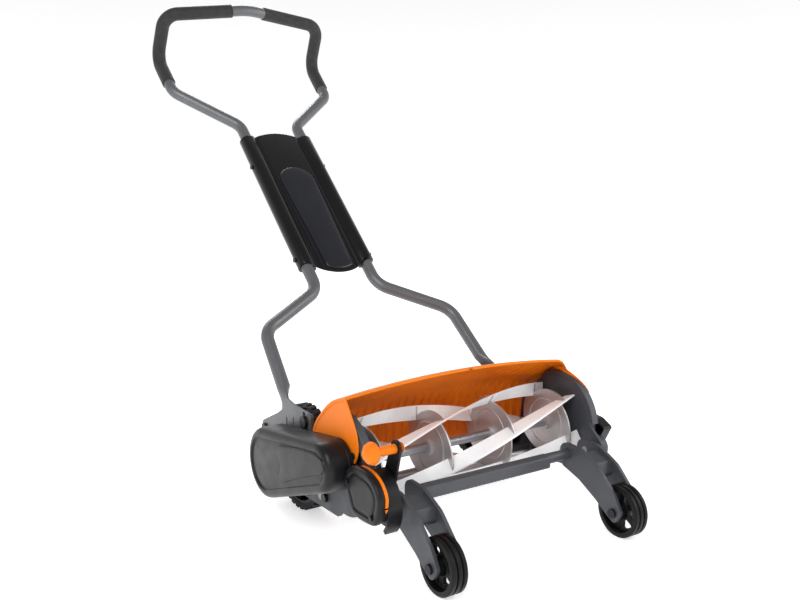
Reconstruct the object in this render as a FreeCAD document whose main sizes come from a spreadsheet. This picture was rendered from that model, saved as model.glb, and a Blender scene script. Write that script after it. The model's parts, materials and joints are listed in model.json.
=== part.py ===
import FreeCAD, Part
import math
import os
import re

from FreeCAD import Placement, Rotation, Vector

# Push reel mower. Frame: millimetres, +X across the mower (to the left hand of the person
# pushing it), -Y the way it travels, +Z up. The origin is on the ground, under the reel's axis,
# midway between the two side plates.

SIZES = {
    # reel
    "cut_width": 457.0,
    "reel_axis_z": 145.0,
    "reel_tip_radius": 76.0,
    "blade_count": 5,
    "blade_chord": 27.0,
    "blade_lean": 31.0,
    "blade_thick": 2.5,
    "blade_twist": 110.0,
    "blade_phase": 113.0,
    "disc_count": 4,
    "disc_overhang": 27.5,
    "disc_low_radius": 60.0,
    "disc_tip_gap": 2.0,
    "disc_thick": 3.0,
    "disc_ring_radius": 44.0,
    "disc_hub_radius": 15.0,
    "disc_hub_length": 16.0,
    "pin_radius": 2.5,
    "shaft_radius": 8.0,
    "bearing_radius": 15.0,
    # side plates
    "side_gap": 3.0,
    "plate_thick": 5.0,
    "rim_depth": 10.0,
    "rim_wall": 6.0,
    "rim_radius": 86.0,
    # front carriage
    "pivot_y": -100.0,
    "pivot_z": 117.0,
    "pivot_boss_radius": 20.0,
    "pivot_pin_radius": 6.0,
    "bar_radius": 9.5,
    "bar_sleeve_height": 26.0,
    "bar_sleeve_depth": 22.0,
    "bar_sleeve_share": 0.25,
    "fork_boss_radius": 18.0,
    "fork_tip_radius": 14.5,
    "fork_half_gap": 18.0,
    "fork_thick": 6.0,
    "fork_inset": 42.5,
    "front_axle_y": -213.5,
    "front_wheel_radius": 45.0,
    "front_wheel_width": 30.0,
    "front_bolt_radius": 5.0,
    # height lever
    "quadrant_radius": 56.0,
    "quadrant_rim": 7.0,
    "quadrant_rim_depth": 23.0,
    "lever_thick": 4.0,
    "lever_length": 97.0,
    "lever_angle": 109.0,
    "knob_stem_radius": 7.5,
    "knob_head_radius": 18.5,
    # rear wheels and drive
    "rear_axle_y": 198.0,
    "rear_wheel_radius": 96.7,
    "rear_wheel_width": 35.0,
    "rear_wheel_gap": 4.5,
    "axle_radius": 6.0,
    "chain_pitch": 6.35,
    "axle_teeth": 44,
    "reel_teeth": 11,
    "sprocket_thick": 2.8,
    # covers
    "wing_gap": 0.8,
    "wing_thick": 2.5,
    "case_gap": 1.5,
    "case_back_thick": 2.0,
    "case_depth": 47.0,
    "case_wall": 2.5,
    "case_nose_radius": 42.0,
    "case_rear_radius": 64.0,
    "case_round": 9.0,
    "cover_depth": 22.0,
    # chute
    "chute_lip_radius": 125.0,
    "chute_radius": 94.0,
    "chute_thick": 3.0,
    "chute_crown": 17.0,
    "chute_lip_angle": 103.0,
    "chute_rear_angle": 24.0,
    "chute_apron_angle": -22.0,
    "chute_pivot_y": -52.0,
    "chute_pivot_z": 178.0,
    # bed
    "knife_gap": 0.3,
    "knife_thick": 3.2,
    "knife_depth": 34.0,
    "bar_bed_thick": 12.0,
    # handle
    "handle_slope": 42.0,
    "handle_foot_y": 240.0,
    "handle_foot_z": 221.0,
    "tube_radius": 12.7,
    "tube_wall": 1.6,
    "grip_radius": 15.3,
    "foot_inset": 1.5,
    "flare_inset": 10.5,
    "tube_half_span": 72.0,
    "grip_half_span": 206.0,
    "panel_low": 272.0,
    "panel_high": 688.0,
    "panel_wall": 2.6,
    "sleeve_radius": 18.5,
    "bracket_thick": 4.0,
    "bracket_gap": 1.0,
}

doc = FreeCAD.newDocument("reel_mower")
sheet = doc.addObject("Spreadsheet::Sheet", "Sizes")
for row, (alias, value) in enumerate(SIZES.items(), start=1):
    sheet.set(f"A{row}", alias)
    sheet.set(f"B{row}", str(value))
    sheet.setAlias(f"B{row}", alias)
doc.recompute()

SUBPARTS = []
CLEAR = 0.3          # between curved faces of different bodies
RUN = 0.05           # radial running clearance of a shaft in its bush
X_AXIS = Vector(1, 0, 0)


def size(alias):
    return float(sheet.get(alias))


def bound(text):
    """An expression in which every sheet alias is read from the sheet."""
    return re.sub(r"[a-z_]+", lambda m: "Sizes." + m.group(0) if m.group(0) in SIZES else m.group(0), text)


# ---------------------------------------------------------------- shared values

CUT = size("cut_width")
REEL_Z = size("reel_axis_z")
TIP = size("reel_tip_radius")
PLATE_IN = CUT / 2 + size("side_gap")
PLATE_OUT = PLATE_IN + size("plate_thick")
RIM_OUT = PLATE_OUT + size("rim_depth")
WING_IN = RIM_OUT + size("wing_gap")
WING_OUT = WING_IN + size("wing_thick")
CASE_IN = WING_OUT + size("case_gap")
CASE_OUT = CASE_IN + size("case_depth")
BRACKET_IN = PLATE_OUT + size("bracket_gap")
BRACKET_OUT = BRACKET_IN + size("bracket_thick")
PIVOT = (size("pivot_y"), size("pivot_z"))
REEL = (0.0, REEL_Z)
AXLE = (size("rear_axle_y"), size("rear_wheel_radius"))
FRONT_AXLE = (size("front_axle_y"), size("front_wheel_radius"))
REAR_WHEEL_OUT = PLATE_IN - size("rear_wheel_gap")
REAR_WHEEL_IN = REAR_WHEEL_OUT - size("rear_wheel_width")
SLOPE = math.radians(size("handle_slope"))

PLATE_IN_X = "(cut_width / 2 + side_gap)"
PLATE_OUT_X = f"({PLATE_IN_X} + plate_thick)"
RIM_OUT_X = f"({PLATE_OUT_X} + rim_depth)"
WING_OUT_X = f"({RIM_OUT_X} + wing_gap + wing_thick)"
CASE_IN_X = f"({WING_OUT_X} + case_gap)"
CASE_OUT_X = f"({CASE_IN_X} + case_depth)"
BRACKET_IN_X = f"({PLATE_OUT_X} + bracket_gap)"


# ---------------------------------------------------------------- helpers

def polar(centre, radius, degrees):
    """A point of the YZ plane: 0 degrees is +Y (to the rear), 90 is +Z."""
    a = math.radians(degrees)
    return (centre[0] + radius * math.cos(a), centre[1] + radius * math.sin(a))


def rounded(corners):
    """Lines and tangent arcs of a closed outline; each corner is (u, v, rounding radius)."""
    count = len(corners)
    trims = []
    for i, (u, v, radius) in enumerate(corners):
        here = Vector(u, v, 0)
        before = Vector(*corners[i - 1][:2], 0) - here
        after = Vector(*corners[(i + 1) % count][:2], 0) - here
        angle = before.getAngle(after)
        before.normalize()
        after.normalize()
        reach = radius / math.tan(angle / 2) if radius else 0.0
        start, end = here + before * reach, here + after * reach
        middle = None
        if radius:
            inward = (before + after).normalize()
            middle = here + inward * (radius / math.sin(angle / 2) - radius)
        trims.append((start, middle, end))
    edges = []
    for i, (start, middle, end) in enumerate(trims):
        if middle is not None:
            edges.append(Part.Arc(start, middle, end))
        following = trims[(i + 1) % count][0]
        if end.distanceToPoint(following) > 1e-6:
            edges.append(Part.LineSegment(end, following))
    return edges


def hull_of_two(a, ra, b, rb):
    """The outline of a belt round two circles, a to the rear of b, both in (Y, Z)."""
    away = Vector(b[0] - a[0], b[1] - a[1], 0)
    base = math.atan2(away.y, away.x)
    spread = math.acos((ra - rb) / away.Length)

    def on_circle(centre, radius, turn):
        return Vector(centre[0] + radius * math.cos(turn), centre[1] + radius * math.sin(turn), 0)

    ta = [on_circle(a, ra, base + k * spread) for k in (1, -1)]
    tb = [on_circle(b, rb, base + k * spread) for k in (1, -1)]
    far_a = on_circle(a, -ra, base)
    far_b = on_circle(b, rb, base)
    return [Part.Arc(ta[0], far_a, ta[1]), Part.LineSegment(ta[1], tb[1]),
            Part.Arc(tb[1], far_b, tb[0]), Part.LineSegment(tb[0], ta[0])]


def face_yz(edges, x):
    """The flat face of an outline given in (Y, Z), at the given x."""
    wire = Part.Wire([e.toShape() for e in edges])
    face = Part.Face(wire)
    face.Placement = Placement(Vector(x, 0, 0), Rotation(Vector(0, 1, 0), Vector(0, 0, 1), X_AXIS, "ZXY"))
    return face


def slab(edges, x_low, x_high):
    """An outline given in (Y, Z), extruded from x_low to x_high."""
    return face_yz(edges, x_low).extrude(Vector(x_high - x_low, 0, 0))


def rod(radius, x_low, x_high, centre):
    """A cylinder along X."""
    return Part.makeCylinder(radius, x_high - x_low, Vector(x_low, *centre), X_AXIS)


def mirrored(shape):
    return shape.mirror(Vector(0, 0, 0), X_AXIS)


def both_sides(shape):
    return Part.makeCompound([shape, mirrored(shape)])


def keep(label, obj):
    obj.Label = label
    SUBPARTS.append(obj)
    return obj


def feature(label, shape, place=None):
    """A sub-part whose shape is built by Part's own functions from the sheet's values."""
    obj = doc.addObject("Part::Feature", label)
    obj.Shape = shape.removeSplitter() if shape.ShapeType == "Solid" else shape
    if place is not None:
        obj.Placement = Placement(place, Rotation())
    return keep(label, obj)


def cylinder(label, radius, x_start, length, y, z):
    """A Part::Cylinder along X, every size an expression of the sheet."""
    obj = doc.addObject("Part::Cylinder", label)
    obj.Placement = Placement(Vector(), Rotation(Vector(0, 1, 0), 90))
    for prop, text in (("Radius", radius), ("Height", length), (".Placement.Base.x", x_start),
                       (".Placement.Base.y", y), (".Placement.Base.z", z)):
        obj.setExpression(prop, bound(text))
    return obj


def origin_plane(body, role):
    return next(f for f in body.Origin.OriginFeatures if f.Role == role)


def sketch(body, role, edges, name):
    drawn = body.newObject("Sketcher::SketchObject", name)
    drawn.AttachmentSupport = (origin_plane(body, role), "")
    drawn.MapMode = "FlatFace"
    for edge in edges:
        drawn.addGeometry(edge, False)
    return drawn


def turned_body(label, corners, x, y, z):
    """A PartDesign body: an outline in (X, radius) revolved about X, placed by expressions."""
    body = doc.addObject("PartDesign::Body", label)
    drawn = sketch(body, "XY_Plane", rounded(corners), label + "_section")
    turn = body.newObject("PartDesign::Revolution", label + "_turn")
    turn.Profile = drawn
    turn.ReferenceAxis = (drawn, ["H_Axis"])
    turn.Angle = 360
    body.Tip = turn
    for prop, text in ((".Placement.Base.x", x), (".Placement.Base.y", y), (".Placement.Base.z", z)):
        body.setExpression(prop, bound(text))
    return keep(label, body)


def bent_wire(points):
    """A 3-D path of straight runs and tangent arcs; each inner point is (vector, radius)."""
    edges = []
    last = points[0][0]
    for i in range(1, len(points) - 1):
        here, radius = points[i]
        before = (points[i - 1][0] - here).normalize()
        after = (points[i + 1][0] - here).normalize()
        angle = before.getAngle(after)
        reach = radius / math.tan(angle / 2)
        start, end = here + before * reach, here + after * reach
        middle = here + (before + after).normalize() * (radius / math.sin(angle / 2) - radius)
        edges.append(Part.LineSegment(last, start))
        edges.append(Part.Arc(start, middle, end))
        last = end
    edges.append(Part.LineSegment(last, points[-1][0]))
    return Part.Wire([e.toShape() for e in edges])


def pipe(points, radius):
    path = bent_wire(points)
    start = points[0][0]
    along = (points[1][0] - start).normalize()
    ring = Part.Wire([Part.Circle(start, along, radius).toShape()])
    shell = Part.BRepOffsetAPI.MakePipeShell(path)
    shell.setTransitionMode(1)
    shell.add(ring)
    shell.build()
    shell.makeSolid()
    return shell.shape()


def tube(points, outer, inner):
    return pipe(points, outer).cut(pipe(points, inner))


# ---------------------------------------------------------------- side plates and tie

BRACKET_PIVOT = (size("handle_foot_y") + 60.0, size("handle_foot_z") - 92.0)
KNOB_BOLT = (size("handle_foot_y") - 110.0, size("handle_foot_z") - 36.0)
TIE = (88.0, 64.0)
TIE_RADIUS = 9.0
AXLE_BUSH_RADIUS = 11.0
BOLT_RADIUS = 5.0
ADJUSTER = (66.0, 66.0)
ADJUSTER_RADIUS = 4.0


def side_plate():
    """One casting, on the +X side: web, raised rim round the reel and the two bearing seats."""
    rim = size("rim_radius")
    web = rod(rim, PLATE_IN, PLATE_OUT, REEL)
    nose = hull_of_two(REEL, 62, PIVOT, size("pivot_boss_radius"))
    web = web.fuse(slab(nose, PLATE_IN, PLATE_OUT))
    ky, kz = KNOB_BOLT
    tail = rounded([(10, 47, 14), (150, 42, 30), (AXLE[0] + 62, AXLE[1] - 40, 30),
                    (BRACKET_PIVOT[0] + 22, BRACKET_PIVOT[1] - 12, 12),
                    (BRACKET_PIVOT[0] + 8, BRACKET_PIVOT[1] + 16, 12), (ky + 80, kz - 6, 30), (ky + 12, kz + 15, 8),
                    (ky - 12, kz + 14, 5), (ky - 14, kz - 14, 5), (40, kz - 14, 4)])
    web = web.fuse(slab(tail, PLATE_IN, PLATE_OUT))
    band = rod(rim, PLATE_OUT, RIM_OUT, REEL).cut(rod(rim - size("rim_wall"), PLATE_OUT, RIM_OUT, REEL))
    band = band.cut(slab(rounded([(44, -50, 0), (200, -50, 0), (200, 400, 0), (44, 400, 0)]), PLATE_IN, RIM_OUT))
    band = band.cut(slab(rounded([(-200, -50, 0), (100, -50, 0), (100, 96, 0), (-200, 96, 0)]), PLATE_IN, RIM_OUT))
    boss = rod(size("pivot_boss_radius"), PLATE_OUT, RIM_OUT, PIVOT).cut(rod(rim - 1, PLATE_OUT, RIM_OUT, REEL))
    plate = web.fuse(band).fuse(boss)
    for centre, radius in ((REEL, size("bearing_radius")), (AXLE, AXLE_BUSH_RADIUS),
                           (PIVOT, size("pivot_pin_radius") + RUN), (TIE, TIE_RADIUS),
                           (BRACKET_PIVOT, BOLT_RADIUS), (KNOB_BOLT, BOLT_RADIUS),
                           (ADJUSTER, ADJUSTER_RADIUS)):
        plate = plate.cut(rod(radius, PLATE_IN - 1, RIM_OUT + 1, centre))
    return plate


right_plate = side_plate()
feature("side_plate_right", right_plate)
feature("side_plate_left", mirrored(right_plate))
keep("rear_tie_tube", cylinder("rear_tie_tube", str(TIE_RADIUS), f"-{PLATE_OUT_X}", f"2 * {PLATE_OUT_X}",
                               str(TIE[0]), str(TIE[1])))

BUSH_FLANGE = 2.0


def bush(radius, bore, centre):
    sleeve = rod(radius, PLATE_IN, PLATE_OUT, centre)
    flange = rod(radius + 3, PLATE_OUT, PLATE_OUT + BUSH_FLANGE, centre)
    return sleeve.fuse(flange).cut(rod(bore, PLATE_IN - 1, RIM_OUT, centre))


feature("reel_bearings", both_sides(bush(size("bearing_radius"), size("shaft_radius") + RUN, REEL)))
feature("axle_bushes", both_sides(bush(AXLE_BUSH_RADIUS, size("axle_radius") + RUN, AXLE)))

# ---------------------------------------------------------------- bed knife and its bar

KNIFE_TOP = REEL_Z - TIP - size("knife_gap")
KNIFE_LOW = KNIFE_TOP - size("knife_thick")
BED_LOW = KNIFE_LOW - size("bar_bed_thick")
BED_BOLT_RADIUS = 3.0
BED_BOLTS_X = [CUT * k / 8 for k in (-3, -2, -1, 0, 1, 2, 3)]
knife_edges = rounded([(-4, KNIFE_TOP, 0), (-2, KNIFE_LOW, 0), (size("knife_depth"), KNIFE_LOW, 1),
                       (size("knife_depth"), KNIFE_TOP - 1, 1)])
bed_edges = rounded([(8, KNIFE_LOW, 0), (14, BED_LOW, 3), (76, BED_LOW - 4, 3), (76, BED_LOW + 6, 3),
                     (40, KNIFE_LOW, 3)])
knife = slab(knife_edges, -CUT / 2, CUT / 2)
bed = slab(bed_edges, -PLATE_IN, PLATE_IN)
bed_bolts = []
for x in BED_BOLTS_X:
    hole = Part.makeCylinder(BED_BOLT_RADIUS, 40, Vector(x, 22, BED_LOW - 8))
    knife = knife.cut(hole)
    bed = bed.cut(hole)
    shank = Part.makeCylinder(BED_BOLT_RADIUS, KNIFE_TOP - BED_LOW - 1, Vector(x, 22, BED_LOW - 1))
    head = Part.makeCylinder(5.0, 3.0, Vector(x, 22, BED_LOW - 4.0))
    bed_bolts.append(shank.fuse(head))
feature("bed_knife", knife)
feature("bed_bar", bed)
feature("bed_bolts", Part.makeCompound(bed_bolts))
adjuster = rod(ADJUSTER_RADIUS, PLATE_IN, PLATE_OUT, ADJUSTER).fuse(rod(8.0, PLATE_OUT, PLATE_OUT + 6, ADJUSTER))
feature("bed_adjusters", both_sides(adjuster))

# ---------------------------------------------------------------- reel

SHAFT_LEFT = CASE_IN + 34
BLADES = int(size("blade_count"))
BLADE_STEP = 360.0 / BLADES


def blade_angle(x, index):
    return size("blade_phase") + index * BLADE_STEP - size("blade_twist") * x / CUT


def blade_section(x, index):
    """The blade's flat strip where it crosses the plane at x, leaning into the turn."""
    turn = blade_angle(x, index)
    tip = Vector(x, *polar(REEL, TIP, turn))
    lean = math.radians(turn + size("blade_lean"))
    inward = Vector(0, -math.cos(lean), -math.sin(lean))
    back = X_AXIS.cross(inward) * size("blade_thick")
    root = tip + inward * size("blade_chord")
    bevel = tip + inward * size("blade_thick") + back
    return Part.makePolygon([tip, root, root + back, bevel, tip])


def blade(index):
    spans = 14
    return Part.makeLoft([blade_section(CUT * (k / spans - 0.5), index) for k in range(spans + 1)], True, False)


def disc(x, blades):
    """A pressed spider disc: five cam-shaped ears, each backing one blade, and a hub."""
    edges = []
    high = TIP - size("disc_tip_gap")
    low = size("disc_low_radius")
    undercut = 9.0
    for index in range(BLADES):
        start = blade_angle(x, index) - undercut
        end = start + BLADE_STEP + undercut
        points = [Vector(x, *polar(REEL, low + (high - low) * t ** 1.5, start + (end - start) * t))
                  for t in (0, 0.25, 0.5, 0.75, 1)]
        curve = Part.BSplineCurve()
        curve.interpolate(points)
        edges.append(curve.toShape())
        following = Vector(x, *polar(REEL, low, start + BLADE_STEP))
        edges.append(Part.LineSegment(points[-1], following).toShape())
    thick = size("disc_thick")
    plate = Part.Face(Part.Wire(Part.__sortEdges__(edges))).extrude(X_AXIS * thick)
    plate.translate(X_AXIS * (-thick / 2))
    ring = Part.makeTorus(size("disc_ring_radius"), 2.4, Vector(x, *REEL), X_AXIS)
    length = size("disc_hub_length")
    hub = rod(size("disc_hub_radius"), x - length / 2, x + length / 2, REEL)
    spider = plate.fuse(ring).fuse(hub).cut(rod(size("shaft_radius"), x - length, x + length, REEL))
    for strip in blades:
        spider = spider.cut(strip)
    return spider


blades = [blade(index) for index in range(BLADES)]
for index, strip in enumerate(blades, start=1):
    feature(f"reel_blade_{index}", strip)
DISCS = int(size("disc_count"))
DISC_SPACING = (CUT - 2 * size("disc_overhang")) / (DISCS - 1)
DISCS_X = [DISC_SPACING * (k - (DISCS - 1) / 2) for k in range(DISCS)]
pins = []
for index, x in enumerate(DISCS_X, start=1):
    pin = rod(size("pin_radius"), x + size("disc_thick") / 2 + 1, x + size("disc_hub_length") / 2 + 4,
              (REEL[0] - 11.2, REEL[1] + 1))
    pins.append(pin)
    feature(f"spider_disc_{index}", disc(x, blades).cut(pin))
feature("disc_pins", Part.makeCompound(pins))
keep("reel_shaft", cylinder("reel_shaft", "shaft_radius", f"-({CASE_IN_X} + 34)",
                            f"{CASE_IN_X} + 34 + {PLATE_OUT_X} + 6", "0", "reel_axis_z"))

# ---------------------------------------------------------------- rear wheels, axle and drive

SPROCKET_X = -(CASE_IN + 20)
ROLLER = 1.65


def pitch_radius(teeth):
    return size("chain_pitch") / (2 * math.sin(math.pi / teeth))


def sprocket(teeth, centre, bore, hub_radius):
    half = size("sprocket_thick") / 2
    pitch = pitch_radius(teeth)
    wheel = rod(pitch + 1.8, SPROCKET_X - half, SPROCKET_X + half, centre)
    seats = [polar(centre, pitch, 360.0 * k / teeth) for k in range(teeth)]
    gaps = [rod(ROLLER, SPROCKET_X - 5, SPROCKET_X + 5, seat) for seat in seats]
    wheel = wheel.cut(Part.makeCompound(gaps))
    hub = rod(hub_radius, SPROCKET_X - 6, SPROCKET_X + 6, centre)
    return wheel.fuse(hub).cut(rod(bore, SPROCKET_X - 9, SPROCKET_X + 9, centre))


AXLE_TEETH = int(size("axle_teeth"))
REEL_TEETH = int(size("reel_teeth"))
big = sprocket(AXLE_TEETH, AXLE, size("axle_radius"), 14.0)
for k in range(6):
    big = big.cut(rod(12.0, SPROCKET_X - 9, SPROCKET_X + 9, polar(AXLE, 34, 60 * k)))
feature("axle_sprocket", big)
feature("reel_sprocket", sprocket(REEL_TEETH, REEL, size("shaft_radius"), 8.9))


def chain():
    """The closed chain: its two rows of side plates, and the rollers on its two straight runs."""
    big_radius, small_radius = pitch_radius(AXLE_TEETH), pitch_radius(REEL_TEETH)
    reach = 2.0
    row = slab(hull_of_two(AXLE, big_radius + reach, REEL, small_radius + reach), 0, 1.0)
    row = row.cut(slab(hull_of_two(AXLE, big_radius - reach, REEL, small_radius - reach), -1, 2.0))
    gap = size("sprocket_thick") / 2 + 0.7
    rows = [row.translated(X_AXIS * (SPROCKET_X + gap)), row.translated(X_AXIS * (SPROCKET_X - gap - 1.0))]
    run = Vector(0, REEL[0] - AXLE[0], REEL[1] - AXLE[1])
    base = math.atan2(run.z, run.y)
    spread = math.acos((big_radius - small_radius) / run.Length)
    links = rows[0].fuse(rows[1])
    rollers = []
    for turn in (base + spread, base - spread):
        start = Vector(0, AXLE[0] + big_radius * math.cos(turn), AXLE[1] + big_radius * math.sin(turn))
        end = Vector(0, REEL[0] + small_radius * math.cos(turn), REEL[1] + small_radius * math.sin(turn))
        count = int((end - start).Length / size("chain_pitch"))
        for k in range(4, count - 1):
            at = start + (end - start) * (k / count)
            rollers.append(rod(ROLLER, SPROCKET_X - gap - 1.0, SPROCKET_X + gap + 1.0, (at.y, at.z)))
    return links.fuse(rollers)


feature("drive_chain", chain())
keep("rear_axle", cylinder("rear_axle", "axle_radius", f"-({CASE_IN_X} + 32)",
                           f"{CASE_IN_X} + 32 + {PLATE_OUT_X} + 6", "rear_axle_y", "rear_wheel_radius"))

TYRE_DEPTH = 12.0
CLEAT_HEIGHT = 3.4
CLEATS = 34
CLEAT_GAP = 6.4


def rear_tyre():
    """The cleated tread ring of the +X wheel: chevron grooves cut across the rim."""
    outer = size("rear_wheel_radius")
    ring = rod(outer, REAR_WHEEL_IN, REAR_WHEEL_OUT, AXLE)
    ring = ring.cut(rod(outer - TYRE_DEPTH, REAR_WHEEL_IN, REAR_WHEEL_OUT, AXLE))
    middle = (REAR_WHEEL_IN + REAR_WHEEL_OUT) / 2
    half = size("rear_wheel_width") / 2 + 3
    grooves = []
    for k in range(CLEATS):
        for side, lead in ((1, 0.0), (-1, 180.0 / CLEATS)):
            corner = Vector(2 if side > 0 else -half - 2, -CLEAT_GAP / 2, -CLEAT_HEIGHT)
            block = Part.makeBox(half, CLEAT_GAP, 2 * CLEAT_HEIGHT, corner)
            block.rotate(Vector(0, 0, 0), Vector(0, 0, 1), side * 22)
            block.translate(Vector(middle, 0, outer))
            block.rotate(Vector(0, 0, 0), X_AXIS, 360.0 * k / CLEATS + lead)
            grooves.append(block)
    cutter = Part.makeCompound(grooves)
    cutter.translate(Vector(0, *AXLE))
    return ring.cut(cutter)


def rear_hub():
    seat = size("rear_wheel_radius") - TYRE_DEPTH
    middle = (REAR_WHEEL_IN + REAR_WHEEL_OUT) / 2
    rim = rod(seat, REAR_WHEEL_IN + 1, REAR_WHEEL_OUT - 1, AXLE)
    rim = rim.cut(rod(seat - 5, REAR_WHEEL_IN, REAR_WHEEL_OUT, AXLE))
    web = rod(seat - 4, middle - 2.5, middle + 2.5, AXLE)
    for k in range(6):
        web = web.cut(rod(13, REAR_WHEEL_IN, REAR_WHEEL_OUT, polar(AXLE, 52, 60 * k + 30)))
    boss = rod(20, REAR_WHEEL_IN + 2, REAR_WHEEL_OUT, AXLE)
    hub = rim.fuse(web).fuse(boss)
    for k in range(6):
        rib = Part.makeBox(24, 4, seat - 22, Vector(middle - 12, -2, 18))
        rib.rotate(Vector(0, 0, 0), X_AXIS, 60 * k)
        hub = hub.fuse(rib.translated(Vector(0, *AXLE)))
    return hub.cut(rod(size("axle_radius"), REAR_WHEEL_IN, REAR_WHEEL_OUT, AXLE))


for label, shape in (("rear_tyre", rear_tyre()), ("rear_hub", rear_hub())):
    feature(label + "_right", shape)
    feature(label + "_left", mirrored(shape))

# ---------------------------------------------------------------- front carriage

TRACK = PLATE_IN - size("fork_inset")
GAP = size("fork_half_gap")
FORK_OUT = TRACK + GAP + size("fork_thick")
FORK_IN = TRACK - GAP - size("fork_thick")


def arm_outline():
    """One cheek of a fork in (Y, Z): a boss on the pivot, a bowed arm, a round tip on the axle."""
    py, pz = PIVOT
    ay, az = FRONT_AXLE
    return rounded([(py + 20, pz + 20, 17), (py - 32, pz + 18, 16), (py - 78, pz - 4, 40), (ay - 2, az + 32, 40),
                    (ay - 19, az + 4, 9), (ay - 5, az - 19, 9), (ay + 17, az - 6, 9), (ay + 40, az + 10, 40),
                    (py - 30, pz - 38, 50), (py + 19, pz - 22, 17)])


def fork(side):
    low, high = FORK_IN, FORK_OUT
    cheeks = slab(arm_outline(), low, low + size("fork_thick"))
    cheeks = cheeks.fuse(slab(arm_outline(), high - size("fork_thick"), high))
    py, pz = PIVOT
    bridge = rounded([(py - 26, pz + 12, 3), (py - 62, pz - 2, 4), (py - 70, pz - 22, 3), (py - 62, pz - 30, 3),
                      (py - 36, pz - 16, 3)])
    whole = cheeks.fuse(slab(bridge, low, high))
    hole = size("front_bolt_radius")
    whole = whole.cut(rod(hole, low - 1, high + 1, FRONT_AXLE))
    whole = whole.cut(rod(size("bar_radius"), low - 1, low + size("fork_thick") + 1, PIVOT))
    whole = whole.cut(rod(size("pivot_pin_radius"), low, high + 1, PIVOT))
    return whole if side > 0 else mirrored(whole)


feature("front_fork_right", fork(1))
feature("front_fork_left", fork(-1))


def cross_bar():
    bar = rod(size("bar_radius"), -FORK_IN - size("fork_thick"), FORK_IN + size("fork_thick"), PIVOT)
    half = size("bar_sleeve_depth") / 2
    rise = size("bar_sleeve_height") / 2
    py, pz = PIVOT
    sleeve = rounded([(py - half, pz - rise - 2, 5), (py + half, pz - rise - 2, 5), (py + half, pz + rise - 5, 5),
                      (py - half, pz + rise - 5, 5)])
    return bar.fuse(slab(sleeve, -FORK_IN, CUT * size("bar_sleeve_share")))


feature("cross_bar", cross_bar())
pin = rod(size("pivot_pin_radius"), TRACK + GAP, RIM_OUT, PIVOT)
feature("pivot_pins", both_sides(pin))
bolt = rod(size("front_bolt_radius"), FORK_IN, FORK_OUT, FRONT_AXLE)
bolt = bolt.fuse(rod(8.0, FORK_IN - 5, FORK_IN, FRONT_AXLE)).fuse(rod(8.0, FORK_OUT, FORK_OUT + 5, FRONT_AXLE))
feature("front_axle_bolts", both_sides(bolt))


def front_wheel():
    """A one-piece moulded wheel on the +X side: three tread ribs and a web with six windows."""
    radius = size("front_wheel_radius")
    half = size("front_wheel_width") / 2
    rib = half / 3
    profile = []
    for k in (-2, 0, 2):
        profile += [(k * rib - rib + 0.8, radius - 3.2, 1), (k * rib - rib + 2, radius, 1.2),
                    (k * rib + rib - 2, radius, 1.2), (k * rib + rib - 0.8, radius - 3.2, 1)]
    profile += [(half - 0.8, radius - 9, 1), (3, radius - 11, 2), (3, 15, 2), (half, 13, 1), (half, 5, 0),
                (-half, 5, 0), (-half, 13, 1), (-3, 15, 2), (-3, radius - 11, 2), (-half + 0.8, radius - 9, 1)]
    section = Part.Face(Part.Wire([e.toShape() for e in rounded(profile)]))
    wheel = section.revolve(Vector(0, 0, 0), X_AXIS, 360)
    wheel = wheel.cut(Part.makeCylinder(size("front_bolt_radius") + RUN, 4 * half, Vector(-2 * half, 0, 0), X_AXIS))
    for k in range(6):
        window = rounded([(17, -4, 2), (radius - 14, -12, 3), (radius - 14, 12, 3), (17, 4, 2)])
        cutter = slab(window, -10, 10)
        cutter.rotate(Vector(0, 0, 0), X_AXIS, 60 * k)
        wheel = wheel.cut(cutter)
    return wheel


front = front_wheel()
feature("front_wheel_right", front, Vector(TRACK, *FRONT_AXLE))
feature("front_wheel_left", front, Vector(-TRACK, *FRONT_AXLE))

# ---------------------------------------------------------------- height lever, quadrant and covers

LEVER_OUT = -(FORK_OUT + 4 + size("lever_thick") + CLEAR)
LEVER_IN = LEVER_OUT + size("lever_thick")
KNOB = polar(PIVOT, size("lever_length"), size("lever_angle"))
KNOB_ROD = 5.0


def lever():
    strip = slab(hull_of_two(PIVOT, 18, KNOB, 13), LEVER_OUT, LEVER_IN)
    spacer = rod(12, LEVER_IN, -FORK_OUT, PIVOT)
    hub = strip.fuse(spacer).cut(rod(size("pivot_pin_radius"), LEVER_OUT - 1, -FORK_OUT + 1, PIVOT))
    return hub.cut(rod(KNOB_ROD + CLEAR, LEVER_OUT - 1, LEVER_IN + 1, KNOB))


feature("height_lever", lever())
NECK = LEVER_OUT - 0.2
STEM_END = NECK - 32
HEAD = size("knob_head_radius")
STEM = size("knob_stem_radius")
knob_profile = [(LEVER_IN + 8, 0, 0), (LEVER_IN + 8, 8, 0.5), (LEVER_IN + 6.5, 8, 0.5), (LEVER_IN + 6.5, KNOB_ROD, 0),
                (NECK, KNOB_ROD, 0), (NECK, STEM, 0.8), (STEM_END, STEM, 2),
                (STEM_END - 3.5, HEAD - 3, 2), (STEM_END - 9, HEAD, 4), (STEM_END - 17, HEAD - 3.5, 4),
                (STEM_END - 22.5, 8, 3), (STEM_END - 23.5, 0, 0)]
turned_body("height_knob", knob_profile, "0", "pivot_y + lever_length * cos(lever_angle)",
            "pivot_z + lever_length * sin(lever_angle)")


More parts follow.
